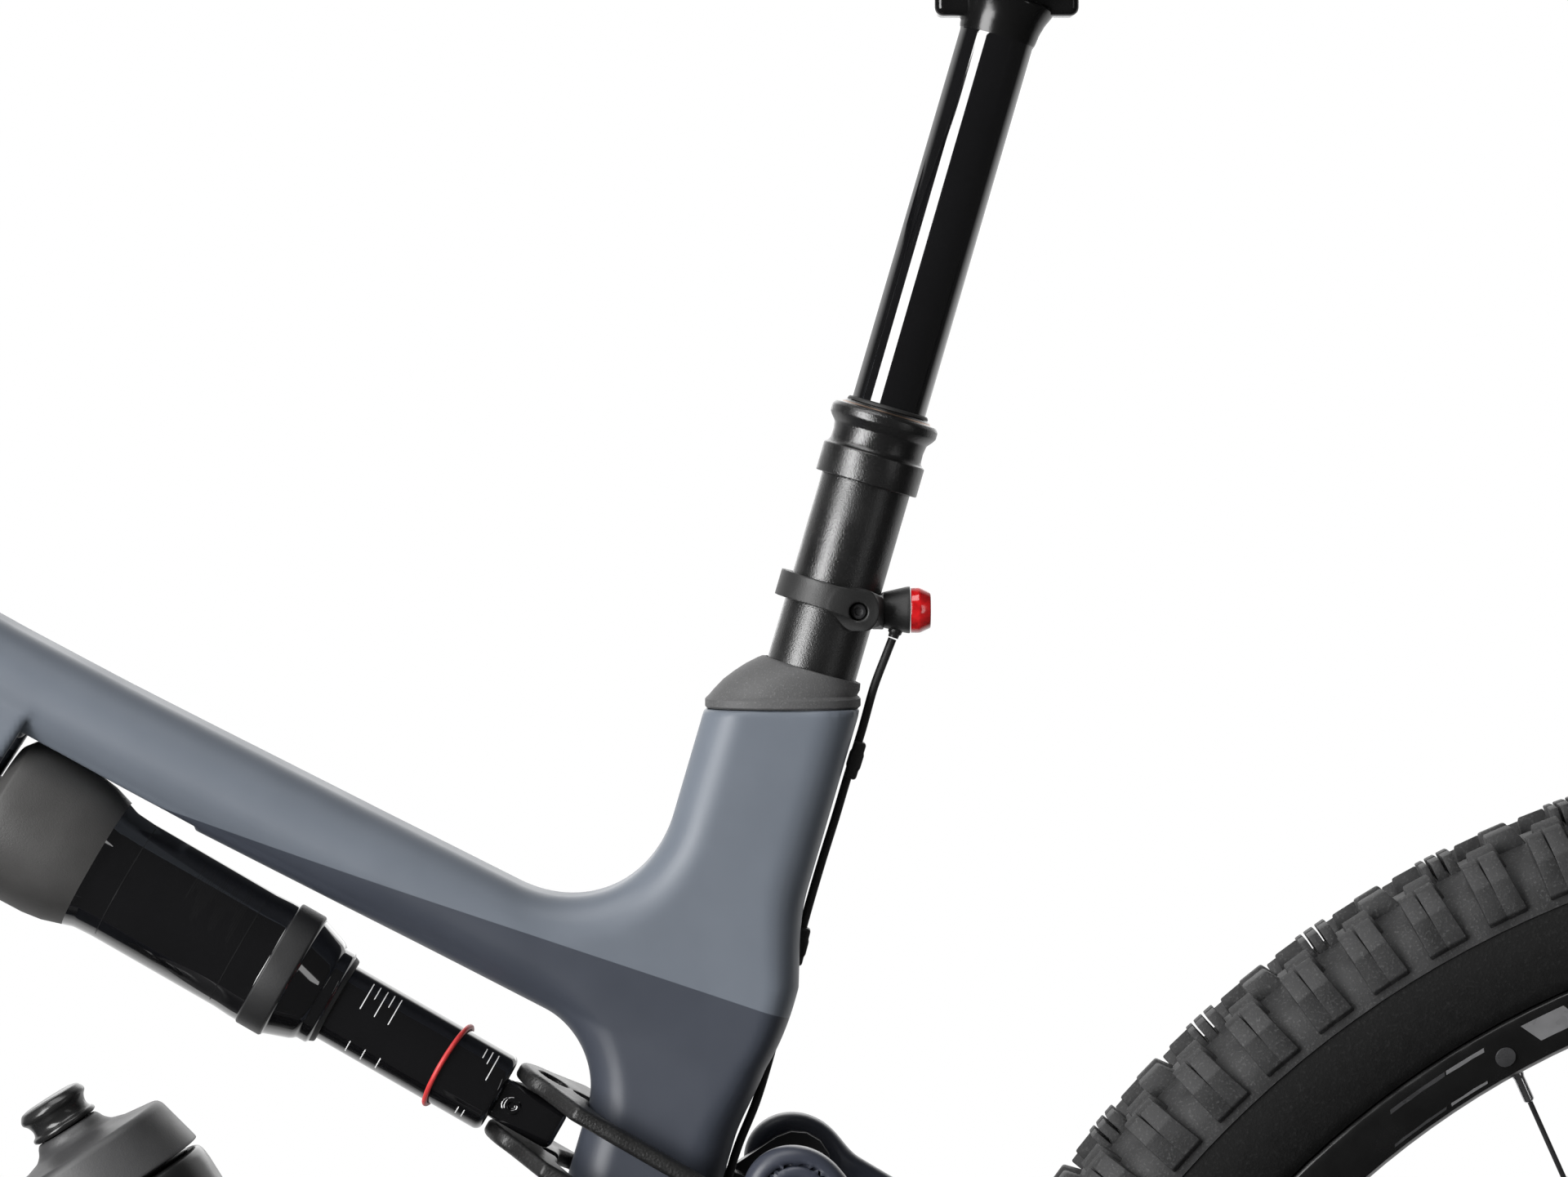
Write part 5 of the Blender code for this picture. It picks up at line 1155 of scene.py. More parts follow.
def block(section, low_s, high_s, top_shift=0.0, taper=0.0012, bevel=0.0007):
    """A tread block as (s, y, r) points and faces: a (y, r) section drawn out along the tread.

    The section's first and last points are the foot, which the block widens toward by taper.
    """
    bm = bmesh.new()
    rings = []
    foot = min(point[1] for point in section)
    tall = max(point[1] for point in section) - foot
    for sign, s in ((-1, low_s), (1, high_s)):
        ring = []
        for y, r in section:
            height = (r - foot) / tall
            ring.append(bm.verts.new((s + sign * taper * (1 - height) + top_shift * height, y, r)))
        rings.append(ring)
    count = len(section)
    for i in range(count):
        j = (i + 1) % count
        bm.faces.new((rings[0][i], rings[0][j], rings[1][j], rings[1][i]))
    bm.faces.new(rings[0][::-1])
    bm.faces.new(rings[1])
    bmesh.ops.recalc_face_normals(bm, faces=bm.faces)
    bmesh.ops.bevel(
        bm, geom=list(bm.edges), offset=bevel, segments=2, profile=0.5, affect="EDGES", clamp_overlap=True
    )
    bm.verts.index_update()
    points = np.array([tuple(v.co) for v in bm.verts])
    faces = [[v.index for v in face.verts] for face in bm.faces]
    bm.free()
    return points, faces


def mirrored(template):
    points, faces = template
    return points * (1, -1, 1), [face[::-1] for face in faces]


def tread_blocks():
    """The blocks of two rows, each with the row offset that it sits at."""
    flat = [(0.0040, 0.3680), (0.0040, 0.3758), (0.0125, 0.3752), (0.0135, 0.3670)]
    inner = [(0.0010, 0.3685), (0.0010, 0.3760), (0.0105, 0.3756), (0.0115, 0.3675)]
    middle = [(0.0165, 0.3650), (0.0170, 0.3742), (0.0222, 0.3722), (0.0236, 0.3630)]
    shoulder = [
        (0.0225, 0.3620), (0.0252, 0.3722), (0.0285, 0.3708), (0.0336, 0.3630), (0.0340, 0.3505),
        (0.0300, 0.3480),
    ]
    made = [(block(flat, -0.0045, 0.0050, 0.0010, 0.0022), 0.0)]
    for low, high in ((-0.0060, -0.0022), (-0.0012, 0.0024), (0.0034, 0.0060)):
        made.append((block(inner, low, high, 0.0, 0.0001, 0.0004), 1.0))
    for row in (0.45, 1.45):
        made.append((block(middle, -0.0055, 0.0040, 0.0, 0.0015), row))
    for row in (0.5, 1.5):
        made.append((block(shoulder, -0.0068, -0.0003, 0.0008, 0.0008, 0.0006), row))
        made.append((block(shoulder, 0.0003, 0.0062, 0.0008, 0.0008, 0.0006), row))
    return made + [(mirrored(template), row) for template, row in made]


def make_tyre(prefix, axle):
    half = [
        (0.3075, 0.0132), (0.3165, 0.0142), (0.3170, 0.0182), (0.3215, 0.0214), (0.3310, 0.0268),
        (0.3400, 0.0298), (0.3458, 0.0308), (0.3462, 0.0315), (0.3520, 0.0315), (0.3590, 0.0292),
        (0.3640, 0.0245), (0.3678, 0.0165), (0.3693, 0.0080),
    ]
    lining = [(0.3500, 0.0250), (0.3190, 0.0108), (0.3075, 0.0100)]
    section = [(r, y, 1 if r > 0.346 else 0) for r, y in half] + [(0.3696, 0.0, 1)]
    section += [(r, -y, 1 if r > 0.3462 else 0) for r, y in reversed(half)]
    section += [(r, -y, 0) for r, y in reversed(lining)] + [(r, y, 0) for r, y in lining]
    carcass = lathe("carcass", side_axes(axle), section, 192, True, 0.0)
    templates = tread_blocks()
    points = []
    faces = []
    total = 0
    for pair in range(ROWS // 2):
        for (local_points, local_faces), row in templates:
            angle = (2 * pair + row + TREAD_PHASE) * ROW_ANGLE
            r = local_points[:, 2]
            turn = angle + local_points[:, 0] / r
            x = axle.x + r * np.cos(turn)
            z = axle.z + r * np.sin(turn)
            points.append(np.stack([x, local_points[:, 1], z], 1))
            faces += [[v + total for v in face] for face in local_faces]
            total += len(local_points)
    blocks = mesh_from(prefix + "_blocks", np.concatenate(points), faces, 35.0)
    parts = [carcass, repaint(blocks, 1)]
    paints = [SIDEWALL, TREAD_RUBBER]
    link_piece(prefix + "_tyre_piece", parts, paints, prefix + "_wheel", (prefix + "_tyre",), "tyre_rubber")


def rim_patch(axle, sign, low_r, high_r, start, end, lean=0.0):
    """A thin plain patch on the rim's flank between two angles in degrees."""
    steps = max(int(abs(end - start) / 0.8), 3)
    points = []
    for i in range(steps + 1):
        for r, shift in ((low_r, 0.0), (high_r, lean)):
            angle = math.radians(start + (end - start) * i / steps + shift)
            y = float(np.interp(r, [0.2985, 0.3050, 0.3135], [0.0118, 0.0152, 0.0180]))
            for lift in (-0.0002, 0.00012):
                points.append(axle + polar(r, angle, sign * (y + lift)))
    return ribbon(points)


RIM_MARKS = [
    ("light", 0.3000, 0.3120, 2.2, 5.0, -0.9),
    ("light", 0.3045, 0.3125, -5.2, -2.2, 0.8),
    ("dark", 0.3000, 0.3120, 5.4, 9.6, -1.2),
    ("dark", 0.3010, 0.3110, -9.0, -5.8, 1.0),
]


def make_rim(prefix, axle):
    half = [
        (0.3060, 0.0070), (0.3065, 0.0130), (0.3150, 0.0138), (0.3164, 0.0142), (0.3164, 0.0172),
        (0.3150, 0.0181), (0.3135, 0.0180), (0.3050, 0.0152), (0.2985, 0.0118), (0.2970, 0.0090),
        (0.2964, 0.0050),
    ]
    section = half + [(r, -y) for r, y in reversed(half)]
    body = prefix + "_wheel"
    rim = prefix + "_rim"
    turned(rim + "_piece", side_axes(axle), section, RIM_BLACK, rim, "rim_black", 192, True, 0.0004)
    light = []
    dark = []
    for sign in (-1, 1):
        for turn in range(4):
            middle = SPOKE_ANGLE + turn * 90.0
            for marks, low, high, start, end, lean in RIM_MARKS:
                patch = rim_patch(axle, sign, low, high, middle + start, middle + end, lean)
                (light if marks == "light" else dark).append(patch)
            dark.append(rim_dot(axle, sign, 0.3052, middle + 0.35, 0.0036))
    link_piece(prefix + "_rim_patches", light, RIM_GREY, body, (), "rim_black")
    link_piece(prefix + "_rim_marks", dark, RIM_DARK, body, (), "rim_black")


def rim_dot(axle, sign, radius, angle, size):
    turn = math.radians(angle)
    centre = axle + polar(radius, turn, sign * 0.0154)
    matrix = axes(centre, polar(-0.36, turn, sign), (0, 0, 1))
    return lathe("dot", matrix, disc_profile(size, 0.0003, -0.0006), 24, False, 0.0001)


HUBS = {
    "front": (
        FRONT_AXLE,
        (-0.0200, 0.0310),
        [
            (0.0105, 0.0545), (0.0105, 0.0400), (0.0270, 0.0332), (0.0280, 0.0325), (0.0280, 0.0295),
            (0.0230, 0.0280), (0.0160, 0.0230), (0.0148, 0.0180), (0.0148, -0.0080), (0.0170, -0.0130),
            (0.0270, -0.0182), (0.0280, -0.0190), (0.0280, -0.0215), (0.0220, -0.0240), (0.0170, -0.0290),
            (0.0220, -0.0370), (0.0220, -0.0450), (0.0110, -0.0460), (0.0105, -0.0545),
        ],
        0.1000,
        -0.0410,
    ),
    "rear": (
        REAR_AXLE,
        (-0.0320, 0.0220),
        [
            (0.0105, 0.0740), (0.0105, 0.0710), (0.0150, 0.0705), (0.0150, 0.0290), (0.0280, 0.0242),
            (0.0280, 0.0205), (0.0200, 0.0180), (0.0168, 0.0120), (0.0165, -0.0200), (0.0190, -0.0260),
            (0.0280, -0.0302), (0.0280, -0.0335), (0.0200, -0.0390), (0.0200, -0.0430), (0.0220, -0.0560),
            (0.0220, -0.0640), (0.0120, -0.0650), (0.0110, -0.0740),
        ],
        0.0900,
        -0.0585,
    ),
}


def make_spokes(prefix, axle, flanges, hub_profile):
    parts = [lathe("hub", side_axes(axle), ring_profile(hub_profile, 0.0066), 64, True, 0.0008)]
    nipples = []
    nipple = [
        (0, 0.0), (0.0022, 0.0), (0.0022, 0.0020), (0.0019, 0.0030), (0.0019, 0.0115), (0.0012, 0.0122),
        (0, 0.0122),
    ]
    for i in range(SPOKES):
        lean = 1 if i % 4 < 2 else -1
        at_rim = math.tau * (i + SPOKE_PHASE) / SPOKES
        at_hub = at_rim + lean * math.radians(62)
        flange = flanges[i % 2] + 0.0012 * lean
        inner = axle + polar(0.0245, at_hub, flange)
        outer = axle + polar(0.2960, at_rim, 0.0022 * (1 if i % 2 else -1))
        along = (outer - inner).normalized()
        parts.append(sweep("spoke", [inner, inner.lerp(outer, 0.5), outer], [0.00095] * 3, 8))
        seat = axes(outer + along * 0.0008, along * -1, (0, 1, 0))
        nipples.append(lathe("nipple", seat, nipple, 12, False, 0.0003))
    body = prefix + "_wheel"
    link_piece(prefix + "_hub_piece", parts, SATIN_BLACK, body, (prefix + "_hub",), "black_alloy")
    link_piece(prefix + "_nipples", nipples, SILVER, body, (), "steel")


def make_rotor(prefix, axle, radius, y):
    matrix = side_axes(axle, y)
    t = 0.0009

    def ring(outer, inner):
        return lathe("ring", matrix, ring_profile([(outer, t), (outer, -t)], inner), 120, True, 0.0002)

    parts = [ring(radius, radius - 0.0050), ring(radius - 0.0118, radius - 0.0170), ring(0.0340, 0.0228)]
    for turn in turns(36):
        parts.append(spar(axle, y, radius - 0.0125, turn, radius - 0.0045, turn + 0.075, 0.0042, t))
    for turn in turns(5):
        parts.append(spar(axle, y, 0.0320, turn, radius - 0.0150, turn + 0.5, 0.0062, t))
    head = [(0, 0.0012), (0.0016, 0.0026), (0.0036, 0.0024), (0.0040, 0.0008), (0, 0.0008)]
    for turn in turns(6, 0.5):
        seat = side_axes(axle + polar(0.0285, turn, y), 0.0, -1)
        parts.append(lathe("bolt", seat, head, 16, False, 0.0003))
    link_piece(prefix + "_rotor_piece", parts, STEEL, prefix + "_wheel", (prefix + "_rotor",), "steel")


def spar(axle, y, inner_radius, inner_turn, outer_radius, outer_turn, width, half):
    """A flat bar in the rotor's plane."""
    inner = polar(inner_radius, inner_turn)
    outer = polar(outer_radius, outer_turn)
    across = (outer - inner).cross(Vector((0, 1, 0))).normalized() * width / 2
    points = []
    for lift in (-half, half):
        for corner in (inner - across, outer - across, outer + across, inner + across):
            points.append(axle + corner + Vector((0, y + lift, 0)))
    faces = [(0, 1, 2, 3), (7, 6, 5, 4), (0, 4, 5, 1), (1, 5, 6, 2), (2, 6, 7, 3), (3, 7, 4, 0)]
    return mesh_from("spar", points, faces, 20.0)


def make_wheels():
    for prefix, (axle, flanges, hub_profile, rotor_radius, rotor_y) in HUBS.items():
        make_tyre(prefix, axle)
        make_rim(prefix, axle)
        make_spokes(prefix, axle, flanges, hub_profile)
        make_rotor(prefix, axle, rotor_radius, rotor_y)


# Rear triangle


def arm_field(p, route):
    """A tapering arm through (x, y, z, half height, half width) points, mirrored to both sides."""
    y = np.abs(p[..., 1])
    nearest = np.full(y.shape, 1e3)
    for a, b in zip(route, route[1:]):
        start = np.array(a[:3])
        end = np.array(b[:3])
        flat = np.array((end[0] - start[0], end[2] - start[2]))
        t = ((p[..., 0] - start[0]) * flat[0] + (p[..., 2] - start[2]) * flat[1]) / (flat @ flat)
        t = np.clip(t, 0, 1)
        high = a[3] + (b[3] - a[3]) * t
        wide = a[4] + (b[4] - a[4]) * t
        away = np.hypot(p[..., 0] - start[0] - t * flat[0], p[..., 2] - start[2] - t * flat[1])
        aside = np.abs(y - start[1] - t * (end[1] - start[1]))
        corner = np.minimum(wide * 0.8, 0.0040)
        nearest = np.minimum(nearest, rounded(away - (high - corner), aside - (wide - corner), corner))
    return nearest


SEATSTAY = [
    (0.2166, 0.0462, 0.6009, 0.0130, 0.0048), (0.262, 0.0462, 0.5752, 0.0120, 0.0050),
    (0.350, 0.0480, 0.5250, 0.0100, 0.0055), (0.460, 0.0570, 0.4625, 0.0090, 0.0055),
    (0.545, 0.0745, 0.4142, 0.0085, 0.0050), (0.580, 0.0785, 0.3950, 0.0085, 0.0040),
]
CHAINSTAY = [
    (0.200, 0.0377, 0.422, 0.014, 0.0065), (0.250, 0.0415, 0.412, 0.013, 0.0055),
    (0.330, 0.0470, 0.396, 0.012, 0.0060), (0.450, 0.0600, 0.370, 0.011, 0.0060),
    (0.530, 0.0680, 0.352, 0.010, 0.0050), (0.573, 0.0680, 0.343, 0.010, 0.0045),
]
SEATSTAY_ROUTE = [tuple(point) for point in smooth_curve(SEATSTAY, 2)]
CHAINSTAY_ROUTE = [tuple(point) for point in smooth_curve(CHAINSTAY, 2)]
DROPOUT_Y = 0.0785
DROPOUT = [
    (HORST_PIVOT.x, HORST_PIVOT.z, 0.0125),
    (REAR_AXLE.x, REAR_AXLE.z, 0.0140),
    (0.572, 0.398, 0.011),
    (0.536, 0.392, 0.011),
]


def both_pins(p, point, low, high, radius):
    mirrored_points = np.stack([p[..., 0], np.abs(p[..., 1]), p[..., 2]], -1)
    return pin(mirrored_points, point, low, high, radius)


def seatstay_field(p):
    x, y, z = p[..., 0], np.abs(p[..., 1]), p[..., 2]
    shape = arm_field(p, SEATSTAY_ROUTE)
    from_pivot = side_distance(p, STAY_PIVOT)
    pad = slab(from_pivot - 0.0170, y - 0.0458, 0.0052, 0.0030)
    shape = smaller(shape, pad, 0.006)
    plate = slab(tapered(x, z, DROPOUT + DROPOUT[:1]), y - DROPOUT_Y, 0.0040, 0.0020)
    core = slab(polygon(x, z, [(px, pz) for px, pz, _ in DROPOUT]), y - DROPOUT_Y, 0.0040, 0.0020)
    shape = smaller(shape, np.minimum(plate, core), 0.005)
    hanger = slab(
        polygon(x, z, [(0.606, 0.372), (0.604, 0.340), (0.638, 0.338), (0.626, 0.372)]),
        p[..., 1] - DROPOUT_Y,
        0.0035,
        0.0015,
    )
    shape = smaller(shape, hanger, 0.003)
    bridge = STAY_PIVOT + (REAR_AXLE - STAY_PIVOT).normalized() * 0.045
    shape = smaller(shape, pin(p, bridge, -0.0460, 0.0460, 0.0075), 0.010)
    shape = smaller(shape, pin(p, REAR_AXLE, -0.0825, 0.0825, 0.0060), 0.001)
    shape = smaller(shape, both_pins(p, HORST_PIVOT, 0.0620, 0.0780, 0.0060), 0.001)
    groove = np.maximum(np.abs(from_pivot - 0.0118) - 0.0006, 0.0500 - y)
    shape = larger(shape, -groove, 0.0006)
    dish = np.maximum(from_pivot - 0.0070, 0.0486 - y)
    shape = larger(shape, -dish, 0.0006)
    return larger(shape, -np.maximum(from_pivot - 0.0062, 0.030 - y), 0.0004)


def chainstay_field(p):
    y = np.abs(p[..., 1])
    shape = arm_field(p, CHAINSTAY_ROUTE)
    shape = smaller(shape, both_pins(p, MAIN_PIVOT, 0.0312, 0.0442, 0.0150), 0.005)
    shape = smaller(shape, both_pins(p, HORST_PIVOT, 0.0625, 0.0730, 0.0130), 0.005)
    shape = smaller(shape, pin(p, MAIN_PIVOT, -0.0440, 0.0440, 0.0080), 0.001)
    shape = smaller(shape, bar(p, (0.2225, -0.041, 0.4192), (0.2225, 0.041, 0.4192), 0.0060), 0.008)
    return larger(shape, -np.maximum(side_distance(p, HORST_PIVOT) - 0.0066, 0.05 - y), 0.0008)


def make_rear_triangle():
    netted("seatstay_pair", "seatstays", seatstay_field, STAY_PAINT, "frame_paint", 0.0013, 0.0024)
    netted("chainstay_pair", "chainstays", chainstay_field, STAY_PAINT, "frame_paint", 0.0013, 0.0024)
    cap = bolt_head(0.0005, 0.0030, 0.0034, 0.0022, 0.0080, 0.0020, 0.0088, 0.0005)
    caps = {
        "main_pivot_caps": ("chainstay", [(MAIN_PIVOT, 0.0441)]),
        "rocker_caps": ("rocker", [(ROCKER_PIVOT, 0.0406), (YOKE_PIVOT, 0.0401)]),
    }
    for name, (body, places) in caps.items():
        parts = []
        for point, y in places:
            for sign in (-1, 1):
                parts.append(lathe("cap", side_axes(point, sign * y, sign), cap, 40, False, 0.0004))
        link_piece(name, parts, SATIN_BLACK, body, (), "black_alloy")
    refined("rocker", SATIN_BLACK, 0.0012, 3, "black_alloy")


make_bottle()
make_wheels()
make_rear_triangle()

# Drive train

CHAINRING_RADIUS = 0.0688
COG_RADIUS = 0.0424
GUIDE_PULLEY = Vector((0.622, 0, 0.284))
TENSION_PULLEY = Vector((0.600, 0, 0.195))
PULLEY_RADIUS = 0.0243
PITCH = 0.0127
COGS = [
    (0.1030, 0.0318, 51), (0.0945, 0.0352, 46), (0.0850, 0.0386, 42), (0.0760, 0.0420, 37),
    (0.0670, 0.0454, 33), (0.0595, 0.0488, 29), (0.0520, 0.0522, 25), (0.0440, 0.0556, 21),
    (0.0375, 0.0590, 18), (0.0320, 0.0624, 16), (0.0265, 0.0652, 13), (0.0210, 0.0680, 10),
]


def gear(name, axle, y, thick, radius, teeth, bore, depth=0.0036):
    """A toothed ring in the wheel's plane, its teeth narrower at the tip."""
    root = radius - depth
    shape = [(0.0, root), (0.30, root), (0.44, radius), (0.56, radius), (0.70, root)]
    outer = [(math.tau * (i + turn) / teeth, reach) for i in range(teeth) for turn, reach in shape]
    points = []
    for lift in (-thick / 2, thick / 2):
        points += [axle + polar(reach, angle, y + lift) for angle, reach in outer]
        points += [axle + polar(bore, angle, y + lift) for angle, _ in outer]
    n = len(outer)
    faces = []
    for i in range(n):
        j = (i + 1) % n
        faces.append((i, j, n + j, n + i))
        faces.append((2 * n + i, 3 * n + i, 3 * n + j, 2 * n + j))
        faces.append((i, 2 * n + i, 2 * n + j, j))
        faces.append((n + i, n + j, 3 * n + j, 3 * n + i))
    return mesh_from(name, points, faces)


def make_cassette():
    parts = []
    for i, (radius, y, teeth) in enumerate(COGS):
        inner = max(radius - 0.0125, 0.0175) if i < 9 else 0.0172
        parts.append(gear("cog", REAR_AXLE, y, 0.0017, radius, teeth, inner))
    for angle in turns(6):
        for radius, y, _ in COGS[:6]:
            parts.append(spar(REAR_AXLE, y, 0.0190, angle, radius - 0.0080, angle + 0.35, 0.0060, 0.0008))
    drum = [(0.0195, 0.0690), (0.0195, 0.0310)]
    parts.append(lathe("drum", side_axes(REAR_AXLE), ring_profile(drum, 0.0160), 48, True, 0.0004))
    link_piece("cassette_cogs", parts, DARK_STEEL, "cassette", ("cassette",), "steel")


def directed_tangent(first, first_radius, second, second_radius):
    """Ends of the line that leaves one circle and meets the next; a negative radius runs clockwise."""
    along = math.atan2(second.z - first.z, second.x - first.x)
    turn = math.acos((first_radius - second_radius) / (second - first).length)
    angle = along - turn
    return first + polar(first_radius, angle), second + polar(second_radius, angle), angle


def chain_route():
    """Points along the chain's loop, round each wheel and along the straight runs between them."""
    wheels = [
        (BOTTOM_BRACKET, CHAINRING_RADIUS), (TENSION_PULLEY, PULLEY_RADIUS),
        (GUIDE_PULLEY, -PULLEY_RADIUS), (REAR_AXLE, COG_RADIUS),
    ]
    lines = []
    for i, (centre, radius) in enumerate(wheels):
        lines.append(directed_tangent(centre, radius, *wheels[(i + 1) % len(wheels)]))
    route = []
    for i, (centre, radius) in enumerate(wheels):
        arrive = lines[i - 1][2]
        leave = lines[i][2]
        while radius > 0 and leave < arrive:
            leave += math.tau
        while radius < 0 and leave > arrive:
            leave -= math.tau
        for k in range(61):
            angle = arrive + (leave - arrive) * k / 60
            route.append(centre + polar(radius, angle))
        for k in range(1, 40):
            route.append(lines[i][0].lerp(lines[i][1], k / 40))
    route.append(route[0].copy())
    return route


def chain_pins():
    """The pins' places: evenly spaced along the loop, as many as the pitch allows, an even count."""
    route = chain_route()
    reach = [0.0]
    for a, b in zip(route, route[1:]):
        reach.append(reach[-1] + (b - a).length)
    count = 2 * round(reach[-1] / PITCH / 2)
    pins = []
    for i in range(count):
        want = reach[-1] * i / count
        k = max(j for j in range(len(reach)) if reach[j] <= want)
        k = min(k, len(route) - 2)
        share = (want - reach[k]) / max(reach[k + 1] - reach[k], 1e-9)
        pins.append(route[k].lerp(route[k + 1], share))
    return pins


def link_plate(first, second, y, thick, radius):
    """A chain side plate: two round ends and a narrow waist."""
    along = (second - first).normalized()
    across = Vector((-along.z, 0, along.x))
    outline = []
    for centre, start in ((second, -90), (first, 90)):
        for k in range(9):
            angle = math.radians(start + 22.5 * k)
            outline.append(centre + (along * math.cos(angle) + across * math.sin(angle)) * radius)
        side_sign = 1 if centre is second else -1
        outline.append((first + second) / 2 + across * side_sign * radius * 0.62)
    points = [point + Vector((0, y + lift, 0)) for lift in (-thick / 2, thick / 2) for point in outline]
    n = len(outline)
    faces = [tuple(range(n)), tuple(range(2 * n - 1, n - 1, -1))]
    faces += [(i, (i + 1) % n, n + (i + 1) % n, n + i) for i in range(n)]
    return mesh_from("plate", points, faces)


def make_chain():
    pins = chain_pins()
    rivet = [
        (0, -0.0026), (0.0018, -0.0026), (0.0018, -0.0010), (0.0033, -0.0009), (0.0033, 0.0009),
        (0.0018, 0.0010), (0.0018, 0.0026), (0, 0.0026),
    ]
    parts = []
    for i, here in enumerate(pins):
        ahead = pins[(i + 1) % len(pins)]
        offset = 0.0021 if i % 2 else 0.0013
        for sign in (-1, 1):
            parts.append(link_plate(here, ahead, CHAIN_Y + sign * offset, 0.0008, 0.0038))
        parts.append(lathe("rivet", side_axes(here, CHAIN_Y), rivet, 12, False, 0))
    chain = link_object("chain_links", joined("chain_links", parts), [DARK_STEEL])
    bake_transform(chain)
    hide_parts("chain")


def make_cranks():
    y = CHAIN_Y
    parts = [gear("ring", BOTTOM_BRACKET, y, 0.0030, 0.0672, 34, 0.0530, 0.0036)]
    for angle in turns(4):
        parts.append(spar(BOTTOM_BRACKET, y, 0.0290, angle + 0.4, 0.0550, angle + 0.55, 0.0130, 0.0018))
    hub = ring_profile([(0.0330, 0.0020), (0.0330, -0.0020)], 0.0300)
    parts.append(lathe("hub", side_axes(BOTTOM_BRACKET, y), hub, 64, True, 0.0003))
    link_piece("chainring_teeth", parts, SATIN_BLACK, "crank", ("chainring",), "black_alloy")
    refined("crank_left", SATIN_BLACK, 0.0022, 3, "black_alloy")
    refined("crank_right", SATIN_BLACK, 0.0018, 3, "black_alloy")
    for sign, name in ((-1, "left"), (1, "right")):
        cap = bolt_head(0.0004, 0.0040, 0.0044, 0.0012, 0.0115, 0.0012, 0.0125, 0.0003)
        mesh = lathe("bolt", side_axes(BOTTOM_BRACKET, sign * CRANK_FACE, sign), cap, 32, False, 0.0003)
        link_piece("crank_bolt_" + name, mesh, STEEL, "crank", (), "steel")
        make_pedal(name, BOTTOM_BRACKET + Vector((sign * CRANK_LENGTH, 0, 0)), sign)


def make_pedal(name, centre, sign):
    node = "pedal_" + name
    low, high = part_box(node)
    middle = centre + Vector((0, sign * PEDAL_MIDDLE, 0))

    def field(p):
        x = np.abs(p[..., 0] - middle.x)
        y = p[..., 1] - middle.y
        z = p[..., 2] - middle.z
        shape = slab(np.maximum(x - 0.0420, np.abs(y) - 0.0410) - 0.0060, z, 0.0070, 0.0020)
        window = slab(np.maximum(np.abs(x - 0.0270) - 0.0110, np.abs(y) - 0.0300), z, 0.02, 0.001)
        shape = larger(shape, -window, 0.002)
        spindle = np.hypot(p[..., 0] - middle.x, z) - 0.0065
        spindle = np.maximum(spindle, np.abs(p[..., 1] - sign * 0.113) - 0.0266)
        return smaller(shape, spindle, 0.002)

    parts = [net("body", field, low, high, 0.0013)]
    for x in (-0.0440, -0.0150, 0.0150, 0.0440):
        for y in (-0.0430, 0.0430, 0.0):
            for flip in (-1, 1):
                at = middle + Vector((x, y, flip * 0.0062))
                stud = disc_profile(0.0018, 0.0013, -0.001)
                parts.append(lathe("stud", axes(at, (0, 0, flip), (1, 0, 0)), stud, 10, False, 0.0002))
    link_piece(node + "_surface", parts, PLASTIC_BLACK, node, (node,), "black_plastic")


def make_derailleur():
    refined("derailleur_body", SATIN_BLACK, 0.0020, 3, "black_alloy")
    refined("derailleur_cage", SATIN_BLACK, 0.0004, 1, "black_alloy")
    pulleys = []
    for centre in (GUIDE_PULLEY, TENSION_PULLEY):
        pulleys.append(gear("pulley", centre, CHAIN_Y, 0.0023, 0.0215, 12, 0.0150, 0.0030))
    link_piece("jockey_teeth", pulleys, PLASTIC_BLACK, "derailleur_cage", (), "black_plastic")
    for node in ("rear_caliper", "front_caliper"):
        refined(node, SATIN_BLACK, 0.0018, 3, "black_alloy")


# Saddle

SADDLE_PLAN = [
    (0.1485, 0.008, 1.0450, 1.0490), (0.152, 0.0145, 1.0440, 1.0520), (0.160, 0.0175, 1.0436, 1.0540),
    (0.173, 0.0195, 1.0432, 1.0558), (0.223, 0.0215, 1.0422, 1.0570), (0.278, 0.0285, 1.0412, 1.0562),
    (0.305, 0.0400, 1.0413, 1.0566), (0.328, 0.0520, 1.0416, 1.0577), (0.350, 0.0630, 1.0424, 1.0598),
    (0.373, 0.0680, 1.0441, 1.0622), (0.394, 0.0675, 1.0465, 1.0650), (0.408, 0.0600, 1.0484, 1.0655),
    (0.415, 0.0470, 1.0497, 1.0643), (0.4178, 0.0340, 1.0510, 1.0600),
]


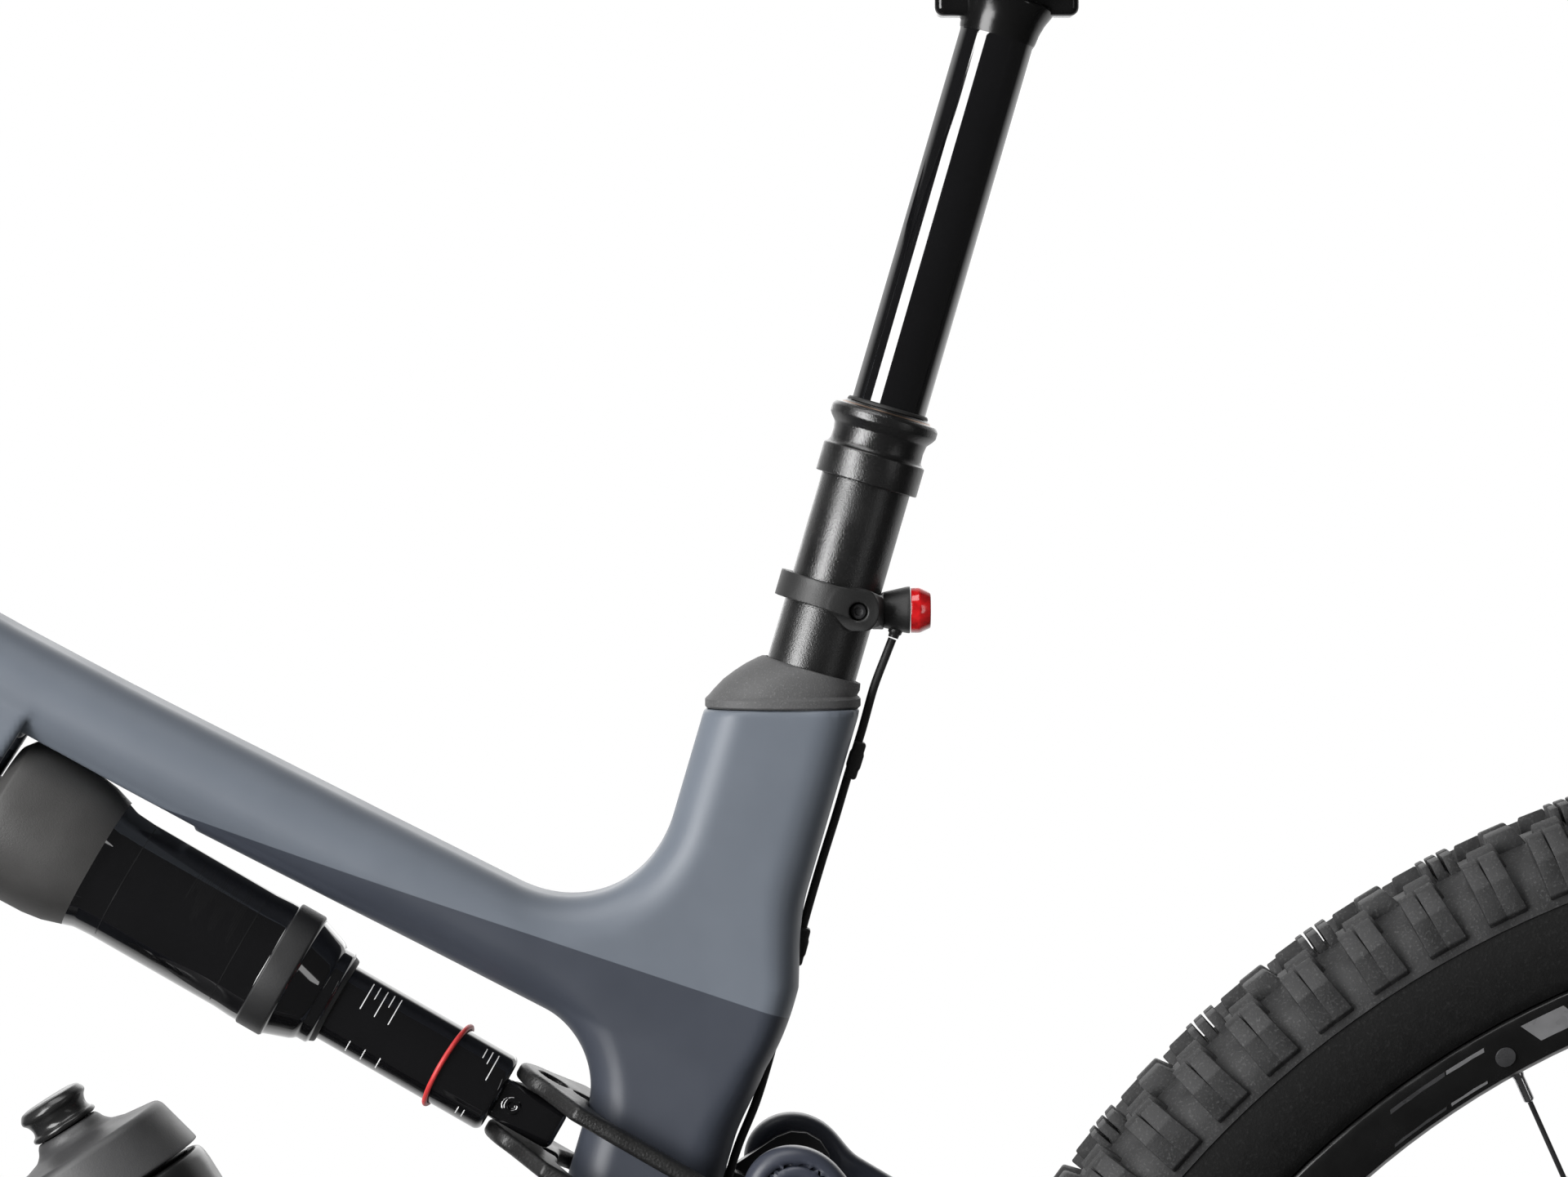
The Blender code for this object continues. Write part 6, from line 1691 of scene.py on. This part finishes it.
def make_saddle():
    rings = []
    for x, half, low, high in smooth_curve(SADDLE_PLAN, 5):
        ring = []
        for angle in turns(48):
            c = math.cos(angle)
            s = math.sin(angle)
            y = half * math.copysign(abs(c) ** 0.62, c)
            crown = 0.0016 * (1 - (y / max(half, 0.01)) ** 2)
            trough = 0.0022 * math.exp(-((y / 0.008) ** 2)) * max(0.0, 1 - ((x - 0.300) / 0.095) ** 2)
            middle = low + (high - low) * 0.42
            if s >= 0:
                z = middle + (high - crown * 0.4 - middle) * s**0.55 + (crown - trough) * s**2 - 0.0010
            else:
                z = middle - (middle - low) * abs(s) ** 0.4
            ring.append((x, y, z))
        rings.append(ring)
    mesh = skin("saddle_pad", rings, 60.0)
    pad = link_piece(
        "saddle_pad", mesh, SADDLE_CLOTH, BODY_OF["saddle_cover"], ("saddle_cover",), "saddle_cloth"
    )
    refined("saddle_shell", PLASTIC_BLACK, 0.0006, 2, "black_plastic")
    refined("saddle_clamp", SATIN_BLACK, 0.0012, 3, "black_alloy")
    bolts = []
    head = [
        (0, 0.0002), (0.0022, 0.0002), (0.0026, 0.0026), (0.0040, 0.0024), (0.0042, -0.001), (0, -0.001)
    ]
    for y in (-0.0120, 0.0120):
        at = Vector((0.2965, y, 1.0139))
        bolts.append(lathe("bolt", axes(at, (0, 0, -1), (1, 0, 0)), head, 20, False, 0.0003))
    link_piece("saddle_bolts", bolts, STEEL, BODY_OF["saddle_clamp"], (), "steel")


# Cockpit and fork


def bar_point(y):
    """The handlebar's centre at a distance to one side."""
    reach = abs(y)
    rise = min(max((reach - 0.040) / 0.070, 0), 1)
    outer = max(reach - 0.110, 0)
    back = outer * math.tan(math.radians(8)) + rise * 0.004
    up = rise * 0.018 + outer * math.tan(math.radians(5))
    return steer(0.155, 0.050) + Vector((back, y, up))


def make_grips():
    for sign, name in ((-1, "left"), (1, "right")):
        end = bar_point(sign * 0.3818)
        along = (end - bar_point(sign * 0.125)).normalized()
        profile = [(0.0, 0.0040), (0.0140, 0.0040), (0.0163, 0.0010), (0.0163, -0.0080)]
        at = -0.0095
        while at > -0.1200:
            profile += [(0.0152, at), (0.0152, at - 0.0012), (0.0163, at - 0.0016), (0.0163, at - 0.0040)]
            at -= 0.0048
        profile += [
            (0.0166, at), (0.0166, -0.1310), (0.0184, -0.1325), (0.0184, -0.1368), (0.0122, -0.1370)
        ]
        mesh = lathe("grip", axes(end, along, (0, 0, 1)), profile, 48, False, 0.0003)
        piece = "grip_" + name
        link_piece(piece + "_ribs", mesh, GRIP_RUBBER, BODY_OF[piece], (piece,), "soft_rubber")


def make_cockpit():
    make_grips()
    widths = {"handlebar": 0.0008, "stem": 0.0016, "headset_cover": 0.0010}
    for part, width in (("brake_body_", 0.0014), ("brake_lever_", 0.0010)):
        for side in ("left", "right"):
            widths[part + side] = width
    for node, width in widths.items():
        refined(node, SATIN_BLACK, width, 3, "black_alloy")
    for node, paint, width, slot in (
        ("dropper_paddle", PLASTIC_BLACK, 0.0010, "black_plastic"),
        ("shift_paddle", PLASTIC_BLACK, 0.0010, "black_plastic"),
        ("fork_upper", FORK_BLACK, 0.0025, "black_alloy"),
        ("fork_lowers", FORK_BLACK, 0.0025, "fork_black"),
        ("battery_cover", STAY_PAINT, 0.0040, "frame_paint"),
        ("battery_pack", PLASTIC_BLACK, 0.0030, "black_plastic"),
        ("motor_unit", MOTOR_GREY, 0.0040, "motor_case"),
    ):
        refined(node, paint, width, 3, slot)
    bolts = []
    head = [
        (0, 0.0005), (0.0018, 0.0005), (0.0022, 0.0020), (0.0036, 0.0018), (0.0038, -0.002), (0, -0.002)
    ]
    for side_y in (-0.0190, 0.0190):
        for lift in (-0.0130, 0.0130):
            centre = steer(0.155 + lift, 0.0735, side_y)
            bolts.append(lathe("bolt", axes(centre, STEER_FORWARD, (0, 0, 1)), head, 18, False, 0.0003))
    link_piece("stem_bolts", bolts, STEEL, "steering", (), "steel")


make_cassette()
make_chain()
make_cranks()
make_derailleur()
make_saddle()
make_cockpit()


# Camera, light and floor

VIEW_POINT = Vector((0.2164, -2.0, 0.866))
VIEW_WIDTH = 0.5439
VIEW_SHIFT = -0.1147
SENSOR = 36.0


def make_camera():
    data = bpy.data.cameras.new("camera")
    data.sensor_width = SENSOR
    data.lens = SENSOR * -VIEW_POINT.y / VIEW_WIDTH
    data.shift_y = VIEW_SHIFT
    data.clip_end = 60
    camera = link_object("camera", data)
    camera.location = VIEW_POINT
    camera.rotation_euler = (math.radians(90), 0, 0)
    bpy.context.scene.camera = camera


BACKDROP_LIGHT = 0.85
ROOM_LIGHT = 0.05


def make_world():
    """White for the eye; for the light, a white backdrop behind the bike and a dim room before it."""
    world = bpy.data.worlds.new("studio")
    bpy.context.scene.world = world
    world.use_nodes = True
    tree = world.node_tree
    tree.nodes.clear()
    output = new_node(tree, "OutputWorld")
    seen = new_node(tree, "Background")
    rest = new_node(tree, "Background")
    for background in (seen, rest):
        background.inputs["Color"].default_value = (1, 1, 1, 1)
    coords = new_node(tree, "TexCoord")
    split = new_node(tree, "SeparateXYZ")
    tree.links.new(coords.outputs["Generated"], split.inputs["Vector"])
    strength = link_range(tree, split.outputs["Y"], ROOM_LIGHT, BACKDROP_LIGHT, 0.25, 0.60)
    tree.links.new(strength, rest.inputs["Strength"])
    path = new_node(tree, "LightPath")
    mix = new_node(tree, "MixShader")
    tree.links.new(path.outputs["Is Camera Ray"], mix.inputs["Fac"])
    tree.links.new(rest.outputs["Background"], mix.inputs[1])
    tree.links.new(seen.outputs["Background"], mix.inputs[2])
    tree.links.new(mix.outputs["Shader"], output.inputs["Surface"])


def area_light(name, place, target, size, power):
    data = bpy.data.lights.new(name, "AREA")
    data.shape = "RECTANGLE"
    data.size = size[0]
    data.size_y = size[1]
    data.energy = power
    light = link_object(name, data)
    light.matrix_world = axes(Vector(place), Vector(place) - Vector(target), (1, 0, 0))


def make_lights():
    middle = (0.2, 0, 0.8)
    area_light("top_softbox", (-0.5, -0.9, 3.0), middle, (2.2, 1.6), 38)
    area_light("left_strip", (-1.65, -1.85, 1.1), middle, (1.35, 2.4), 114)
    area_light("right_strip", (2.4, -1.9, 1.0), middle, (0.25, 1.8), 3)
    area_light("back_light", (0.2, 2.8, 1.8), middle, (3.0, 2.0), 25)


def make_floor():
    bm = bmesh.new()
    bmesh.ops.create_grid(bm, x_segments=8, y_segments=8, size=3.0)
    mesh = bpy.data.meshes.new("floor")
    bm.to_mesh(mesh)
    bm.free()
    floor = link_object("floor", mesh, [surface("floor_paper", (0.36, 0.36, 0.36), 0.9, mottle=0.01)])
    floor.location.z = -0.0005
    floor.visible_glossy = False


make_camera()
make_world()
make_lights()
make_floor()
bpy.context.scene.view_settings.view_transform = "Standard"
